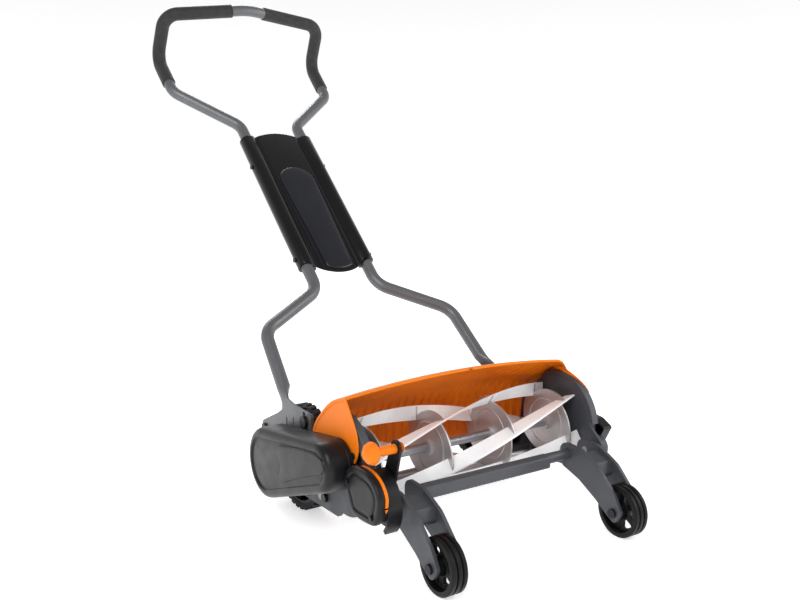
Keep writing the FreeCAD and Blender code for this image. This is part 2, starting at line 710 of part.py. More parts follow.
def quadrant():
    """Fixed to the left plate: a notched drum round the pivot, closed by a web on its outside."""
    radius = size("quadrant_radius")
    low = -RIM_OUT
    ring = rod(radius, low, low + size("quadrant_rim_depth"), PIVOT)
    ring = ring.cut(rod(radius - size("quadrant_rim"), low - 1, low + size("quadrant_rim_depth") + 1, PIVOT))
    wedge = [PIVOT, polar(PIVOT, 120, 97), polar(PIVOT, 150, 135), polar(PIVOT, 150, 190), polar(PIVOT, 120, 222)]
    ring = ring.common(slab(rounded([(u, v, 0) for u, v in wedge]), low - 1, -PLATE_IN + 20))
    for k in range(9):
        seat = polar(PIVOT, radius - size("quadrant_rim") / 2, 112 + 13 * k)
        notch = rod(2.2, low + size("quadrant_rim_depth") - 3.5, -PLATE_IN + 20, seat)
        ring = ring.cut(notch)
    web = rod(radius, low - 3, low, PIVOT)
    web = web.cut(Part.makeBox(5, 180, 69, Vector(low - 4, PIVOT[0] - 90, PIVOT[1] - 90)))
    whole = ring.fuse(web)
    return whole.cut(rod(size("pivot_pin_radius") + CLEAR, low - 4, low + 1, PIVOT))


feature("height_quadrant", quadrant())
SCALE_WIDTH = 9.0
scale_ring = rod(size("quadrant_radius") + 1.2, -RIM_OUT - 3, -RIM_OUT - 3 + SCALE_WIDTH, PIVOT)
scale_ring = scale_ring.cut(rod(size("quadrant_radius") + 0.02, -RIM_OUT - 4, -RIM_OUT + SCALE_WIDTH, PIVOT))
scale_wedge = [PIVOT, polar(PIVOT, 90, 78), polar(PIVOT, 120, 115), polar(PIVOT, 90, 155)]
scale_zone = slab(rounded([(u, v, 0) for u, v in scale_wedge]), -RIM_OUT - 4, -RIM_OUT + SCALE_WIDTH)
feature("height_scale", scale_ring.common(scale_zone))

COVER_BASE = -RIM_OUT - 3
COVER_DEPTH = 20.0
COVER_SCREWS = [(PIVOT[0] + 34, PIVOT[1] + 28), (PIVOT[0] - 39, PIVOT[1] - 7)]


def quadrant_cover():
    py, pz = PIVOT
    outline = rounded([(py + 44, pz + 30, 12), (py + 22, pz + 57, 16), (py - 24, pz + 60, 34),
                       (py - 63, pz + 32, 26), (py - 50, pz - 18, 20), (py + 14, pz - 22, 20)])
    block = slab(outline, COVER_BASE - COVER_DEPTH, COVER_BASE)
    outer = [e for e in block.Edges if e.BoundBox.XMax < COVER_BASE - COVER_DEPTH + 0.01]
    block = block.makeFillet(5.0, outer)
    core = rounded([(py + 40, pz + 29, 9), (py + 20, pz + 53, 13), (py - 23, pz + 56, 31),
                    (py - 58, pz + 31, 23), (py - 47, pz - 15, 17), (py + 13, pz - 18, 17)])
    block = block.cut(slab(core, COVER_BASE - COVER_DEPTH + 3, COVER_BASE))
    for at in COVER_SCREWS:
        block = block.fuse(rod(5.0, COVER_BASE - COVER_DEPTH + 2, COVER_BASE, at))
        block = block.cut(rod(2.0, COVER_BASE - COVER_DEPTH - 1, COVER_BASE + 1, at))
    return block


feature("quadrant_cover", quadrant_cover())
screws = []
for at in COVER_SCREWS:
    face = COVER_BASE - COVER_DEPTH
    screws.append(rod(2.0, face, COVER_BASE, at).fuse(rod(4.0, face - 2.2, face, at)))
feature("quadrant_screws", Part.makeCompound(screws))

# ---------------------------------------------------------------- chain case and right cover

NOSE = size("case_nose_radius")
TAIL = size("case_rear_radius")
CASE_WALL = size("case_wall")
BACK = CASE_IN + size("case_back_thick")
CASE_REAR = (AXLE[0] - 6.0, AXLE[1] + 4.3)
CASE_NOSE = (REEL[0] - 16.0, REEL[1] + 11.0)
POST_RADIUS = 3.0
CASE_SCREW_RADIUS = 1.6
POST_INSET = CASE_WALL + POST_RADIUS + CLEAR
CASE_SCREWS = [polar(CASE_REAR, TAIL - POST_INSET, -60), polar(CASE_REAR, TAIL - POST_INSET, 70),
               polar(CASE_NOSE, NOSE - 16, 190)]


def case_back():
    plate = slab(hull_of_two(CASE_REAR, TAIL, CASE_NOSE, NOSE), -BACK, -CASE_IN)
    for centre, radius in ((REEL, size("shaft_radius")), (AXLE, size("axle_radius"))):
        plate = plate.cut(rod(radius + 1.0, -BACK - 1, -CASE_IN + 1, centre))
    for at in CASE_SCREWS:
        plate = plate.cut(rod(CASE_SCREW_RADIUS, -BACK - 1, -CASE_IN + 1, at))
    stand_offs = []
    for at in ((AXLE[0] + 20, AXLE[1] - 38), (110, 62), (60, 130)):
        stand_offs.append(rod(5.0, -CASE_IN, -PLATE_OUT, at))
    return plate.fuse(stand_offs)


def chain_cover():
    """The deep moulded cover: rounded front edge, even wall, three screw posts inside."""
    block = slab(hull_of_two(CASE_REAR, TAIL, CASE_NOSE, NOSE), -CASE_OUT, -BACK)
    outer = [e for e in block.Edges if e.BoundBox.XMax < -CASE_OUT + 0.01]
    block = block.makeFillet(size("case_round"), outer).Solids[0]
    core = slab(hull_of_two(CASE_REAR, TAIL - CASE_WALL, CASE_NOSE, NOSE - CASE_WALL), -CASE_OUT + CASE_WALL, -BACK)
    inner = [e for e in core.Edges if e.BoundBox.XMax < -CASE_OUT + CASE_WALL + 0.01]
    block = block.cut(core.makeFillet(size("case_round") - CASE_WALL, inner).Solids[0])
    posts = Part.makeCompound([rod(POST_RADIUS, -CASE_OUT + 1, -BACK, at) for at in CASE_SCREWS])
    holes = Part.makeCompound([rod(CASE_SCREW_RADIUS, -CASE_OUT - 1, -BACK + 1, at) for at in CASE_SCREWS])
    return block.fuse(posts).cut(holes).Solids[0]


feature("chain_case_back", case_back())
feature("chain_cover", chain_cover())
case_screws = []
for at in CASE_SCREWS:
    shank = rod(CASE_SCREW_RADIUS, -CASE_OUT, -CASE_IN, at)
    case_screws.append(shank.fuse(rod(POST_RADIUS, -CASE_OUT - 1.6, -CASE_OUT, at)))
feature("chain_cover_screws", Part.makeCompound(case_screws))


def right_cover():
    """The small cover on the other side, over the reel's end: a shallow tray standing off the plate."""
    low, high = WING_OUT + 2.0, WING_OUT + size("cover_depth")
    wall = 2.5
    outline = rounded([(-76, 98, 4), (-104, 150, 4), (-80, 162, 20), (-40, 166, 30), (30, 158, 20),
                       (48, 128, 20), (10, 98, 20)])
    core = rounded([(-74, 101, 2), (-100, 148, 2), (-79, 159, 18), (-40, 163, 28), (28, 155, 18),
                    (44, 128, 18), (9, 101, 18)])
    tray = slab(outline, low, high).cut(slab(core, low - 1, high - wall))
    for at in ((-60, 120), (26, 126)):
        tray = tray.fuse(rod(5.0, PLATE_OUT, high - wall, at))
    return tray.Solids[0]


feature("right_cover", right_cover())

# ---------------------------------------------------------------- chute

CHUTE_PIVOT = (size("chute_pivot_y"), size("chute_pivot_z"))
CHUTE_PIN_RADIUS = 4.0
CHUTE_R = size("chute_radius")
CHUTE_T = size("chute_thick")
LIP = (size("chute_lip_radius"), size("chute_lip_angle"))
APRON = size("chute_apron_angle")
REAR = size("chute_rear_angle")
SHOULDER = 62.0


def hood_line(x, crown, inset):
    """The chute's sheet where it crosses the plane at x: a curve from its lip back and down."""
    stops = [LIP, (CHUTE_R + 2, SHOULDER), (CHUTE_R, REAR), (CHUTE_R, APRON)]
    line = Part.BSplineCurve()
    line.interpolate([Vector(x, *polar(REEL, radius + crown - inset, angle)) for radius, angle in stops])
    return line.toShape()


def hood_section(x, crown):
    outer, inner = hood_line(x, crown, 0), hood_line(x, crown, CHUTE_T)
    ends = [Part.LineSegment(outer.Vertexes[k].Point, inner.Vertexes[k].Point).toShape() for k in (0, 1)]
    return Part.Wire(Part.__sortEdges__([outer, ends[1], inner, ends[0]]))


def chute():
    """One moulded piece: the crowned hood, lower between the wheels, and a flat wing at each end."""
    stations = 4
    sections = []
    for k in range(-stations, stations + 1):
        share = k / stations
        sections.append(hood_section(WING_OUT * share, size("chute_crown") * (1 - share ** 2)))
    hood = Part.makeLoft(sections, True, False)
    lip, tail = polar(REEL, *LIP), polar(REEL, CHUTE_R, REAR)
    py, pz = CHUTE_PIVOT
    front = Part.BSplineCurve()
    front.interpolate([Vector(WING_IN, *lip), Vector(WING_IN, py - 8, pz + 42), Vector(WING_IN, py - 15, pz + 12),
                       Vector(WING_IN, py - 7, pz - 9)])
    corners = [(py - 7, pz - 9), (py + 4, pz - 14), (tail[0] - 12, tail[1] - 12), (tail[0] + 30, tail[1] - 10),
               (tail[0] + 30, lip[1]), (lip[0], lip[1])]
    points = [Vector(WING_IN, *corner) for corner in corners]
    edges = [front.toShape()] + [Part.LineSegment(a, b).toShape() for a, b in zip(points, points[1:])]
    wing = Part.Face(Part.Wire(Part.__sortEdges__(edges))).extrude(X_AXIS * (WING_OUT - WING_IN))
    outline = hood_line(WING_IN, 0, 0)
    ends = [v.Point for v in outline.Vertexes]
    centre = Vector(WING_IN, py, pz - 60)
    inside = Part.Wire(Part.__sortEdges__([outline, Part.LineSegment(ends[1], centre).toShape(),
                                           Part.LineSegment(centre, Vector(WING_IN, py - 90, pz)).toShape(),
                                           Part.LineSegment(Vector(WING_IN, py - 90, pz), ends[0]).toShape()]))
    wing = wing.common(Part.Face(inside).extrude(X_AXIS * (WING_OUT - WING_IN)))
    wing = wing.cut(rod(CHUTE_PIN_RADIUS + RUN, WING_IN - 1, WING_OUT + 1, CHUTE_PIVOT))
    beside = [polar(REEL, 3 * CHUTE_R, angle) for angle in (REAR, -30, -80)]
    wheel_space = rounded([(REEL[0], REEL[1], 0)] + [(u, v, 0) for u, v in beside])
    cutter = slab(wheel_space, REAR_WHEEL_IN - 10, WING_OUT + 1)
    return hood.cut(cutter).cut(mirrored(cutter)).fuse([wing, mirrored(wing)])


feature("chute", chute())
PIN_HEAD = WING_OUT + 0.2
chute_pin = rod(CHUTE_PIN_RADIUS, PLATE_OUT, PIN_HEAD, CHUTE_PIVOT)
chute_pin = chute_pin.fuse(rod(CHUTE_PIN_RADIUS + 2, PIN_HEAD, PIN_HEAD + 1.0, CHUTE_PIVOT))
feature("chute_pins", both_sides(chute_pin))

# ---------------------------------------------------------------- handle

SIN, COS = math.sin(SLOPE), math.cos(SLOPE)
FOOT = Vector(0, size("handle_foot_y"), size("handle_foot_z"))
TUBE = size("tube_radius")
BORE = TUBE - size("tube_wall")
SPAN = size("tube_half_span")
WIDE = size("grip_half_span")
LOW, HIGH = size("panel_low"), size("panel_high")
JOIN = (LOW + HIGH) / 2


def on_handle(across, up, proud=0.0):
    """A point given across the handle, up its slope from the foot, and proud of its plane."""
    return FOOT + Vector(across, up * COS - proud * SIN, up * SIN + proud * COS)


def tilted(shape):
    """A shape drawn flat, with Y up the handle, laid on the handle's plane."""
    shape.Placement = Placement(FOOT, Rotation(X_AXIS, size("handle_slope"))).multiply(shape.Placement)
    return shape


ELBOW_LOW, ELBOW_TOP = LOW - 53, HIGH + 40
upper_path = [(on_handle(SPAN, JOIN + 5), 0), (on_handle(SPAN, ELBOW_TOP), 40),
              (on_handle(WIDE - 4, HIGH + 157), 42), (on_handle(WIDE, HIGH + 280), 42),
              (on_handle(WIDE - 4, HIGH + 306, 108), 38), (on_handle(0, HIGH + 304, 140), 140)]
for point, radius in list(reversed(upper_path))[1:]:
    upper_path.append((Vector(-point.x, point.y, point.z), radius))
feature("upper_handle", tube(upper_path, TUBE, BORE))

GRIP_IN_X = 42.0
bar_middle, bar_corner = upper_path[5][0], upper_path[4][0]
grip_start = bar_middle + (bar_corner - bar_middle) * (GRIP_IN_X / bar_corner.x)
grip_path = [(grip_start, 0), (bar_corner, 38), (upper_path[3][0], 42), (on_handle(WIDE - 3, HIGH + 189), 0)]
grip = tube(grip_path, size("grip_radius"), TUBE)
feature("grip_right", grip)
feature("grip_left", mirrored(grip))

FLARE = PLATE_IN - size("flare_inset")
FOOT_HALF = PLATE_IN - size("foot_inset")
lower_path = [(on_handle(SPAN, JOIN - 5), 0), (on_handle(SPAN, ELBOW_LOW), 48),
              (on_handle(FLARE, 131), 48), (on_handle(FOOT_HALF, 0), 0)]
lower = tube(lower_path, TUBE, BORE)
feature("lower_tube_right", lower)
feature("lower_tube_left", mirrored(lower))


def bracket():
    """The handle's stamped foot on the +X side: a plug in the tube, a flat neck and a slotted fan."""
    axis = (on_handle(FOOT_HALF, 0) - on_handle(FLARE, 131)).normalize()
    start = on_handle(FOOT_HALF, 0)
    middle = (BRACKET_IN + BRACKET_OUT) / 2
    half = size("bracket_thick") / 2
    plug = Part.makeCylinder(BORE, 24, start - axis * 24, axis)
    ring = Part.Wire([Part.Circle(start, axis, TUBE).toShape()])
    neck = on_handle(middle, -36)
    aside = Vector(0, -SIN, COS) * 17
    flat = Part.makePolygon([neck + aside + X_AXIS * half, neck - aside + X_AXIS * half,
                             neck - aside - X_AXIS * half, neck + aside - X_AXIS * half,
                             neck + aside + X_AXIS * half])
    blend = Part.makeLoft([ring, flat], True, True)
    fan = rounded([(neck.y + aside.y, neck.z + aside.z, 0), (neck.y - 38, neck.z + 8, 14),
                   (KNOB_BOLT[0] - 16, KNOB_BOLT[1] + 17, 12), (KNOB_BOLT[0] - 16, KNOB_BOLT[1] - 24, 12),
                   (BRACKET_PIVOT[0] - 10, BRACKET_PIVOT[1] - 16, 14),
                   (BRACKET_PIVOT[0] + 17, BRACKET_PIVOT[1] - 8, 12),
                   (BRACKET_PIVOT[0] + 12, BRACKET_PIVOT[1] + 12, 10),
                   (neck.y + 30, neck.z - 24, 30),
                   (neck.y - aside.y, neck.z - aside.z, 0)])
    plate = slab(fan, BRACKET_IN, BRACKET_OUT)
    whole = plug.fuse(blend).fuse(plate)
    reach = math.hypot(KNOB_BOLT[0] - BRACKET_PIVOT[0], KNOB_BOLT[1] - BRACKET_PIVOT[1])
    rest = math.degrees(math.atan2(KNOB_BOLT[1] - BRACKET_PIVOT[1], KNOB_BOLT[0] - BRACKET_PIVOT[0]))
    for k in range(-4, 5):
        whole = whole.cut(rod(BOLT_RADIUS + 0.4, BRACKET_IN - 1, BRACKET_OUT + 1,
                              polar(BRACKET_PIVOT, reach, rest + k)))
    for share in (0.28, 0.44):
        at = (KNOB_BOLT[0] + share * (BRACKET_PIVOT[0] - KNOB_BOLT[0]), KNOB_BOLT[1] - 1 - 38 * share)
        mark = rounded([(at[0] - 2, at[1] - 7, 1.5), (at[0] + 2, at[1] - 7, 1.5), (at[0] + 2, at[1] + 7, 1.5),
                        (at[0] - 2, at[1] + 7, 1.5)])
        whole = whole.cut(slab(mark, BRACKET_IN - 1, BRACKET_OUT + 1))
    return whole.cut(rod(BOLT_RADIUS + RUN, BRACKET_IN - 1, BRACKET_OUT + 1, BRACKET_PIVOT))


foot = bracket()
feature("handle_bracket_right", foot)
feature("handle_bracket_left", mirrored(foot))
HEAD_IN = BRACKET_OUT + 0.4
for label, centre, head_radius, head in (("handle_pivot_bolts", BRACKET_PIVOT, 9.0, 4.0),
                                         ("handle_clamp_knobs", KNOB_BOLT, 11.0, 6.0)):
    shank = rod(BOLT_RADIUS, PLATE_IN - 3, HEAD_IN + head, centre)
    feature(label, both_sides(shank.fuse(rod(head_radius, HEAD_IN, HEAD_IN + head, centre))))

# ---------------------------------------------------------------- handle panel

SLEEVE = size("sleeve_radius")
PANEL_WALL = size("panel_wall")
WEB_PROUD = 7.0
SCREW_UPS = (LOW + 32, HIGH - 100)


def panel(heads):
    """The moulded panel: a sleeve round each tube and a web between them, with seats for the screws."""
    long = HIGH - LOW
    whole = None
    for side in (1, -1):
        sleeve = Part.makeCylinder(SLEEVE, long, Vector(side * SPAN, LOW, 0), Vector(0, 1, 0))
        whole = sleeve if whole is None else whole.fuse(sleeve)
    top = Part.Arc(Vector(SPAN, HIGH, 0), Vector(0, HIGH + 15, 0), Vector(-SPAN, HIGH, 0)).toShape()
    foot_edge = Part.Arc(Vector(-SPAN, LOW, 0), Vector(0, LOW - 17, 0), Vector(SPAN, LOW, 0)).toShape()
    sides = [Part.LineSegment(Vector(-SPAN, HIGH, 0), Vector(-SPAN, LOW, 0)).toShape(),
             Part.LineSegment(Vector(SPAN, LOW, 0), Vector(SPAN, HIGH, 0)).toShape()]
    web = Part.Face(Part.Wire([top, sides[0], foot_edge, sides[1]])).extrude(Vector(0, 0, PANEL_WALL))
    whole = whole.fuse(web.translated(Vector(0, 0, WEB_PROUD)))
    for side in (1, -1):
        start = Vector(side * SPAN, LOW - long / 2, 0)
        whole = whole.cut(Part.makeCylinder(TUBE, 2 * long, start, Vector(0, 1, 0)))
    return tilted(whole.cut(heads))


def tongue():
    """The raised centre of the panel: an arch at the top, narrowing to the lower lip."""
    wide, narrow = 47.0, 24.0
    arch_up = HIGH - 52
    rise = 5.0
    edges = [Part.Arc(Vector(wide, arch_up, 0), Vector(0, arch_up + 47, 0), Vector(-wide, arch_up, 0)).toShape(),
             Part.LineSegment(Vector(-wide, arch_up, 0), Vector(-narrow, LOW + 4, 0)).toShape(),
             Part.Arc(Vector(-narrow, LOW + 4, 0), Vector(0, LOW - 6, 0), Vector(narrow, LOW + 4, 0)).toShape(),
             Part.LineSegment(Vector(narrow, LOW + 4, 0), Vector(wide, arch_up, 0)).toShape()]
    plate = Part.Face(Part.Wire(edges)).extrude(Vector(0, 0, rise))
    crown = [e for e in plate.Edges if e.BoundBox.ZMin > rise - 0.01]
    plate = plate.makeFillet(2.5, crown)
    plate.translate(Vector(0, 0, WEB_PROUD + PANEL_WALL))
    return tilted(plate)


heads = []
for side in (1, -1):
    for up in SCREW_UPS:
        start = Vector(side * (SPAN + SLEEVE - 1.0), up, 0)
        heads.append(Part.makeCylinder(5.0, 4.2, start, X_AXIS * side))
screw_heads = Part.makeCompound(heads)
feature("handle_panel", panel(screw_heads))
feature("panel_tongue", tongue())
feature("panel_screws", tilted(screw_heads))

# ---------------------------------------------------------------- checks and export

doc.recompute()
for obj in doc.Objects:
    if "Invalid" in obj.State or "Error" in obj.State:
        raise RuntimeError(f"{obj.Label} did not build: {obj.State}")
for obj in SUBPARTS:
    if obj.Shape.isNull() or not obj.Shape.isValid() or not obj.Shape.Solids:
        raise RuntimeError(f"{obj.Label} has no valid solid")
os.makedirs("parts", exist_ok=True)
for obj in SUBPARTS:
    obj.Shape.exportStep(f"parts/{obj.Label}.step")
print(len(SUBPARTS), "sub-parts written")
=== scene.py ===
import json
import math

import bpy
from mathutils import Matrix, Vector


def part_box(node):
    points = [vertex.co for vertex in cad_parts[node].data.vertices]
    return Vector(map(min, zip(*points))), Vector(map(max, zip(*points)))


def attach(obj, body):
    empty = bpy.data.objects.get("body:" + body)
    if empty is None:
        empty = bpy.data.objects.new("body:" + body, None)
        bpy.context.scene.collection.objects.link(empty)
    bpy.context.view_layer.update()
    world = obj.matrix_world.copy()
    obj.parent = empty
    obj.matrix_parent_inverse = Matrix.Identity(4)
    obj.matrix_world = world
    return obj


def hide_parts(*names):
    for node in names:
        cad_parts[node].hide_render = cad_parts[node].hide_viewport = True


# Looks for a push reel mower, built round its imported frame. Metres, in the frame's own axes:
# +X across the mower, -Y the way it travels, +Z up, the ground at z = 0.

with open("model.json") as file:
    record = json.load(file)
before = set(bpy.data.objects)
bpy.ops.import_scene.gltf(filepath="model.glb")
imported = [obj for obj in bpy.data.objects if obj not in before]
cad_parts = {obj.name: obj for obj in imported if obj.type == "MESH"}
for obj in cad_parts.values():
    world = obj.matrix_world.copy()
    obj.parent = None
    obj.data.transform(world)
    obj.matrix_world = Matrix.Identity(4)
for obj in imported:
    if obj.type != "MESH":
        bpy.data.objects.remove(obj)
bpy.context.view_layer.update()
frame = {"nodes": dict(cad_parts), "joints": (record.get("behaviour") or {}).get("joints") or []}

MM = 0.001
X = Vector((1, 0, 0))
SPOT = {j["name"]: Vector(j["pos_m"]) for j in frame["joints"] if "pos_m" in j}
REEL = SPOT["reel_spin"]
AXLE = SPOT["axle_spin"]
PIVOT = SPOT["height_adjust"]


# ---------------------------------------------------------------- materials

def linear(red, green, blue):
    """Screen colour, 0 to 255, to the linear values that a shader takes."""
    shares = []
    for value in (red, green, blue):
        share = value / 255
        shares.append(share / 12.92 if value <= 10 else ((share + 0.055) / 1.055) ** 2.4)
    return tuple(shares)


class Nodes:
    """A small helper that adds shader nodes and links them by name."""

    def __init__(self, name):
        self.material = bpy.data.materials.new(name)
        self.material.use_nodes = True
        self.tree = self.material.node_tree
        self.shader = self.tree.nodes["Principled BSDF"]

    def add(self, kind, links=None, **values):
        node = self.tree.nodes.new("ShaderNode" + kind)
        for key, value in values.items():
            if key in node.inputs:
                node.inputs[key].default_value = value
            else:
                setattr(node, key, value)
        for key, source in (links or {}).items():
            self.tree.links.new(source, node.inputs[key])
        return node

    def place(self, stretch=(1, 1, 1), turn=(0, 0, 0)):
        coordinates = self.add("TexCoord").outputs["Object"]
        mapping = self.add("Mapping", {"Vector": coordinates})
        mapping.inputs["Scale"].default_value = stretch
        mapping.inputs["Rotation"].default_value = turn
        return mapping.outputs["Vector"]

    def noise(self, scale, detail=4.0, stretch=(1, 1, 1), turn=(0, 0, 0)):
        node = self.add("TexNoise", {"Vector": self.place(stretch, turn)})
        node.inputs["Scale"].default_value = scale
        node.inputs["Detail"].default_value = detail
        return node.outputs["Fac"]

    def spread(self, value, low, high, start=0.3, stop=0.7):
        """Value, which runs from start to stop, carried to the range from low to high."""
        node = self.add("MapRange", {"Value": value})
        for key, amount in (("From Min", start), ("From Max", stop), ("To Min", low), ("To Max", high)):
            node.inputs[key].default_value = amount
        return node.outputs["Result"]

    def blend(self, share, first, second):
        node = self.tree.nodes.new("ShaderNodeMix")
        node.data_type = "RGBA"
        for socket, value in ((node.inputs[6], first), (node.inputs[7], second)):
            if isinstance(value, bpy.types.NodeSocket):
                self.tree.links.new(value, socket)
            else:
                socket.default_value = (*value, 1)
        self.tree.links.new(share, node.inputs[0])
        return node.outputs[2]

    def edges(self, radius):
        """1 on worn edges and 0 on flats, from the angle between the face and its rounded neighbour."""
        soft = self.add("Bevel", samples=6)
        soft.inputs["Radius"].default_value = radius
        flat = self.add("NewGeometry").outputs["Normal"]
        dot = self.add("VectorMath", operation="DOT_PRODUCT")
        self.tree.links.new(soft.outputs["Normal"], dot.inputs[0])
        self.tree.links.new(flat, dot.inputs[1])
        return self.spread(dot.outputs["Value"], 1.0, 0.0, 0.90, 0.995)

    def bump(self, height, depth, strength=1.0, round_edges=0.0):
        node = self.add("Bump", {"Height": height})
        node.inputs["Distance"].default_value = depth
        node.inputs["Strength"].default_value = strength
        if round_edges:
            soft = self.add("Bevel", samples=6)
            soft.inputs["Radius"].default_value = round_edges
            self.tree.links.new(soft.outputs["Normal"], node.inputs["Normal"])
        return node.outputs["Normal"]

    def out(self, **links):
        for key, value in links.items():
            socket = self.shader.inputs[key.replace("_", " ")]
            if isinstance(value, bpy.types.NodeSocket):
                self.tree.links.new(value, socket)
            else:
                socket.default_value = value
        return self.material


def tinted(colour, factor):
    return tuple(min(1.0, c * factor) for c in colour)


def coating(name, colour, rough, grain, depth, wear=0.0, worn=None, metallic=0.0, coat=0.0, mottle=0.12,
            soft_edge=0.6 * MM, shine=0.5):
    """Paint or moulded plastic: mottled colour, fine grain, and edges rubbed lighter."""
    n = Nodes(name)
    drift = n.spread(n.noise(14.0, 3.0), 0, 1)
    shade = n.blend(drift, tinted(colour, 1 - mottle), tinted(colour, 1 + mottle))
    if wear:
        rubbed = n.add("Math", operation="MULTIPLY")
        n.tree.links.new(n.edges(soft_edge * 1.6), rubbed.inputs[0])
        n.tree.links.new(n.spread(n.noise(60.0, 3.0), 0, wear), rubbed.inputs[1])
        shade = n.blend(rubbed.outputs[0], shade, worn or tinted(colour, 2.0))
    fine = n.noise(grain, 3.0)
    return n.out(Base_Color=shade, Metallic=metallic, Coat_Weight=coat, Coat_Roughness=0.12,
                 Specular_IOR_Level=shine,
                 Roughness=n.spread(n.noise(40.0, 4.0), rough * 0.85, min(1.0, rough * 1.15)),
                 Normal=n.bump(fine, depth, 0.6, soft_edge))


def steel(name, colour, rough, stretch, depth=0.02 * MM, grain=900.0, metallic=0.9, soft_edge=0.4 * MM):
    """Bare steel with a brushed grain along one axis and slow stains."""
    n = Nodes(name)
    brushed = n.noise(grain, 3.0, stretch)
    stain = n.noise(18.0, 4.0)
    shade = n.blend(n.spread(stain, 0, 1), tinted(colour, 0.86), tinted(colour, 1.06))
    shade = n.blend(n.spread(brushed, 0.0, 0.35), shade, tinted(colour, 0.75))
    return n.out(Base_Color=shade, Metallic=metallic,
                 Roughness=n.spread(brushed, rough * 0.8, min(1.0, rough * 1.3)),
                 Normal=n.bump(brushed, depth, 0.5, soft_edge))


def spun_steel(name, colour, rough):
    """Pressed steel with a turned grain: fine rings round the reel's axis."""
    n = Nodes(name)
    at = n.add("TexCoord").outputs["Object"]
    offset = n.add("VectorMath", operation="SUBTRACT")
    n.tree.links.new(at, offset.inputs[0])
    offset.inputs[1].default_value = REEL
    flat = n.add("VectorMath", operation="MULTIPLY")
    n.tree.links.new(offset.outputs[0], flat.inputs[0])
    flat.inputs[1].default_value = (0, 1, 1)
    radius = n.add("VectorMath", operation="LENGTH")
    n.tree.links.new(flat.outputs[0], radius.inputs[0])
    rings = n.add("TexNoise", noise_dimensions="1D")
    rings.inputs["Scale"].default_value = 900.0
    rings.inputs["Detail"].default_value = 3.0
    n.tree.links.new(radius.outputs["Value"], rings.inputs["W"])
    smear = n.noise(22.0, 4.0)
    shade = n.blend(n.spread(smear, 0, 1), tinted(colour, 0.84), tinted(colour, 1.05))
    shade = n.blend(n.spread(rings.outputs["Fac"], 0.0, 0.3), shade, tinted(colour, 0.8))
    return n.out(Base_Color=shade, Metallic=0.85,
                 Roughness=n.spread(rings.outputs["Fac"], rough * 0.85, rough * 1.25),
                 Normal=n.bump(rings.outputs["Fac"], 0.015 * MM, 0.5, 0.4 * MM))


def foam(name, colour):
    """The grips' rubber: a pebbled skin of small cells with a soft sheen."""
    n = Nodes(name)
    cells = n.add("TexVoronoi", {"Vector": n.place()}, feature="SMOOTH_F1")
    cells.inputs["Scale"].default_value = 520.0
    drift = n.spread(n.noise(30.0, 4.0), 0, 1)
    shade = n.blend(drift, tinted(colour, 0.8), tinted(colour, 1.3))
    shade = n.blend(n.spread(cells.outputs["Distance"], 0.0, 0.5, 0.1, 0.6), shade, tinted(colour, 1.8))
    return n.out(Base_Color=shade, Roughness=n.spread(n.noise(90.0, 3.0), 0.62, 0.82),
                 Sheen_Weight=0.12, Sheen_Roughness=0.5,
                 Normal=n.bump(cells.outputs["Distance"], 0.25 * MM, 0.7))


LOOK = {
    "casting": coating("cast_grey", linear(72, 74, 79), 0.50, 420.0, 0.10 * MM, wear=0.35,
                       worn=linear(120, 122, 128), metallic=0.25, mottle=0.10),
    "tube": coating("tube_grey", linear(100, 101, 104), 0.38, 700.0, 0.03 * MM, metallic=0.35, mottle=0.06),
    "black": coating("moulded_black", linear(18, 17, 20), 0.36, 520.0, 0.05 * MM, wear=0.2,
                     worn=linear(52, 52, 58), mottle=0.18, soft_edge=0.9 * MM, shine=0.28),
    "gloss": coating("gloss_black", linear(9, 8, 11), 0.2, 160.0, 0.01 * MM, coat=0.12, mottle=0.15,
                      shine=0.35),
    # the tongue's look is the panel's gloss black, lightened and tinted blue: a painted highlight for the
    # soft sheen across the tongue, not a different plastic
    "tongue": coating("tongue_black_painted_highlight", linear(24, 25, 32), 0.24, 160.0, 0.01 * MM, coat=0.15, mottle=0.12,
                      shine=0.4),
    "orange": coating("moulded_orange", linear(234, 120, 16), 0.4, 480.0, 0.04 * MM, wear=0.3,
                      worn=linear(246, 146, 50), mottle=0.05, shine=0.18),
    "wheel": coating("wheel_black", linear(12, 12, 13), 0.44, 460.0, 0.06 * MM, wear=0.3,
                     worn=linear(50, 50, 54), mottle=0.2, shine=0.2),
    "tread": coating("tread_black", linear(22, 21, 22), 0.68, 300.0, 0.16 * MM, wear=0.4,
                     worn=linear(64, 62, 60), mottle=0.25, shine=0.2),
    "bolt": coating("bolt_black", linear(36, 36, 39), 0.34, 500.0, 0.04 * MM, wear=0.5,
                    worn=linear(120, 120, 124), metallic=0.6),
    "blade": steel("blade_steel", linear(252, 251, 252), 0.45, (0.08, 1, 1), metallic=0.12),
    "bright": steel("bright_steel", linear(206, 206, 210), 0.38, (0.06, 1, 1), metallic=0.6),
    "shaft": steel("shaft_steel", linear(150, 148, 152), 0.34, (1, 0.1, 0.1), metallic=0.8),
    "disc": spun_steel("disc_steel", linear(198, 195, 196), 0.42),
    "bronze": steel("bush_bronze", linear(170, 138, 92), 0.4, (1, 0.2, 0.2)),
    "grip": foam("grip_foam", linear(27, 26, 27)),
}

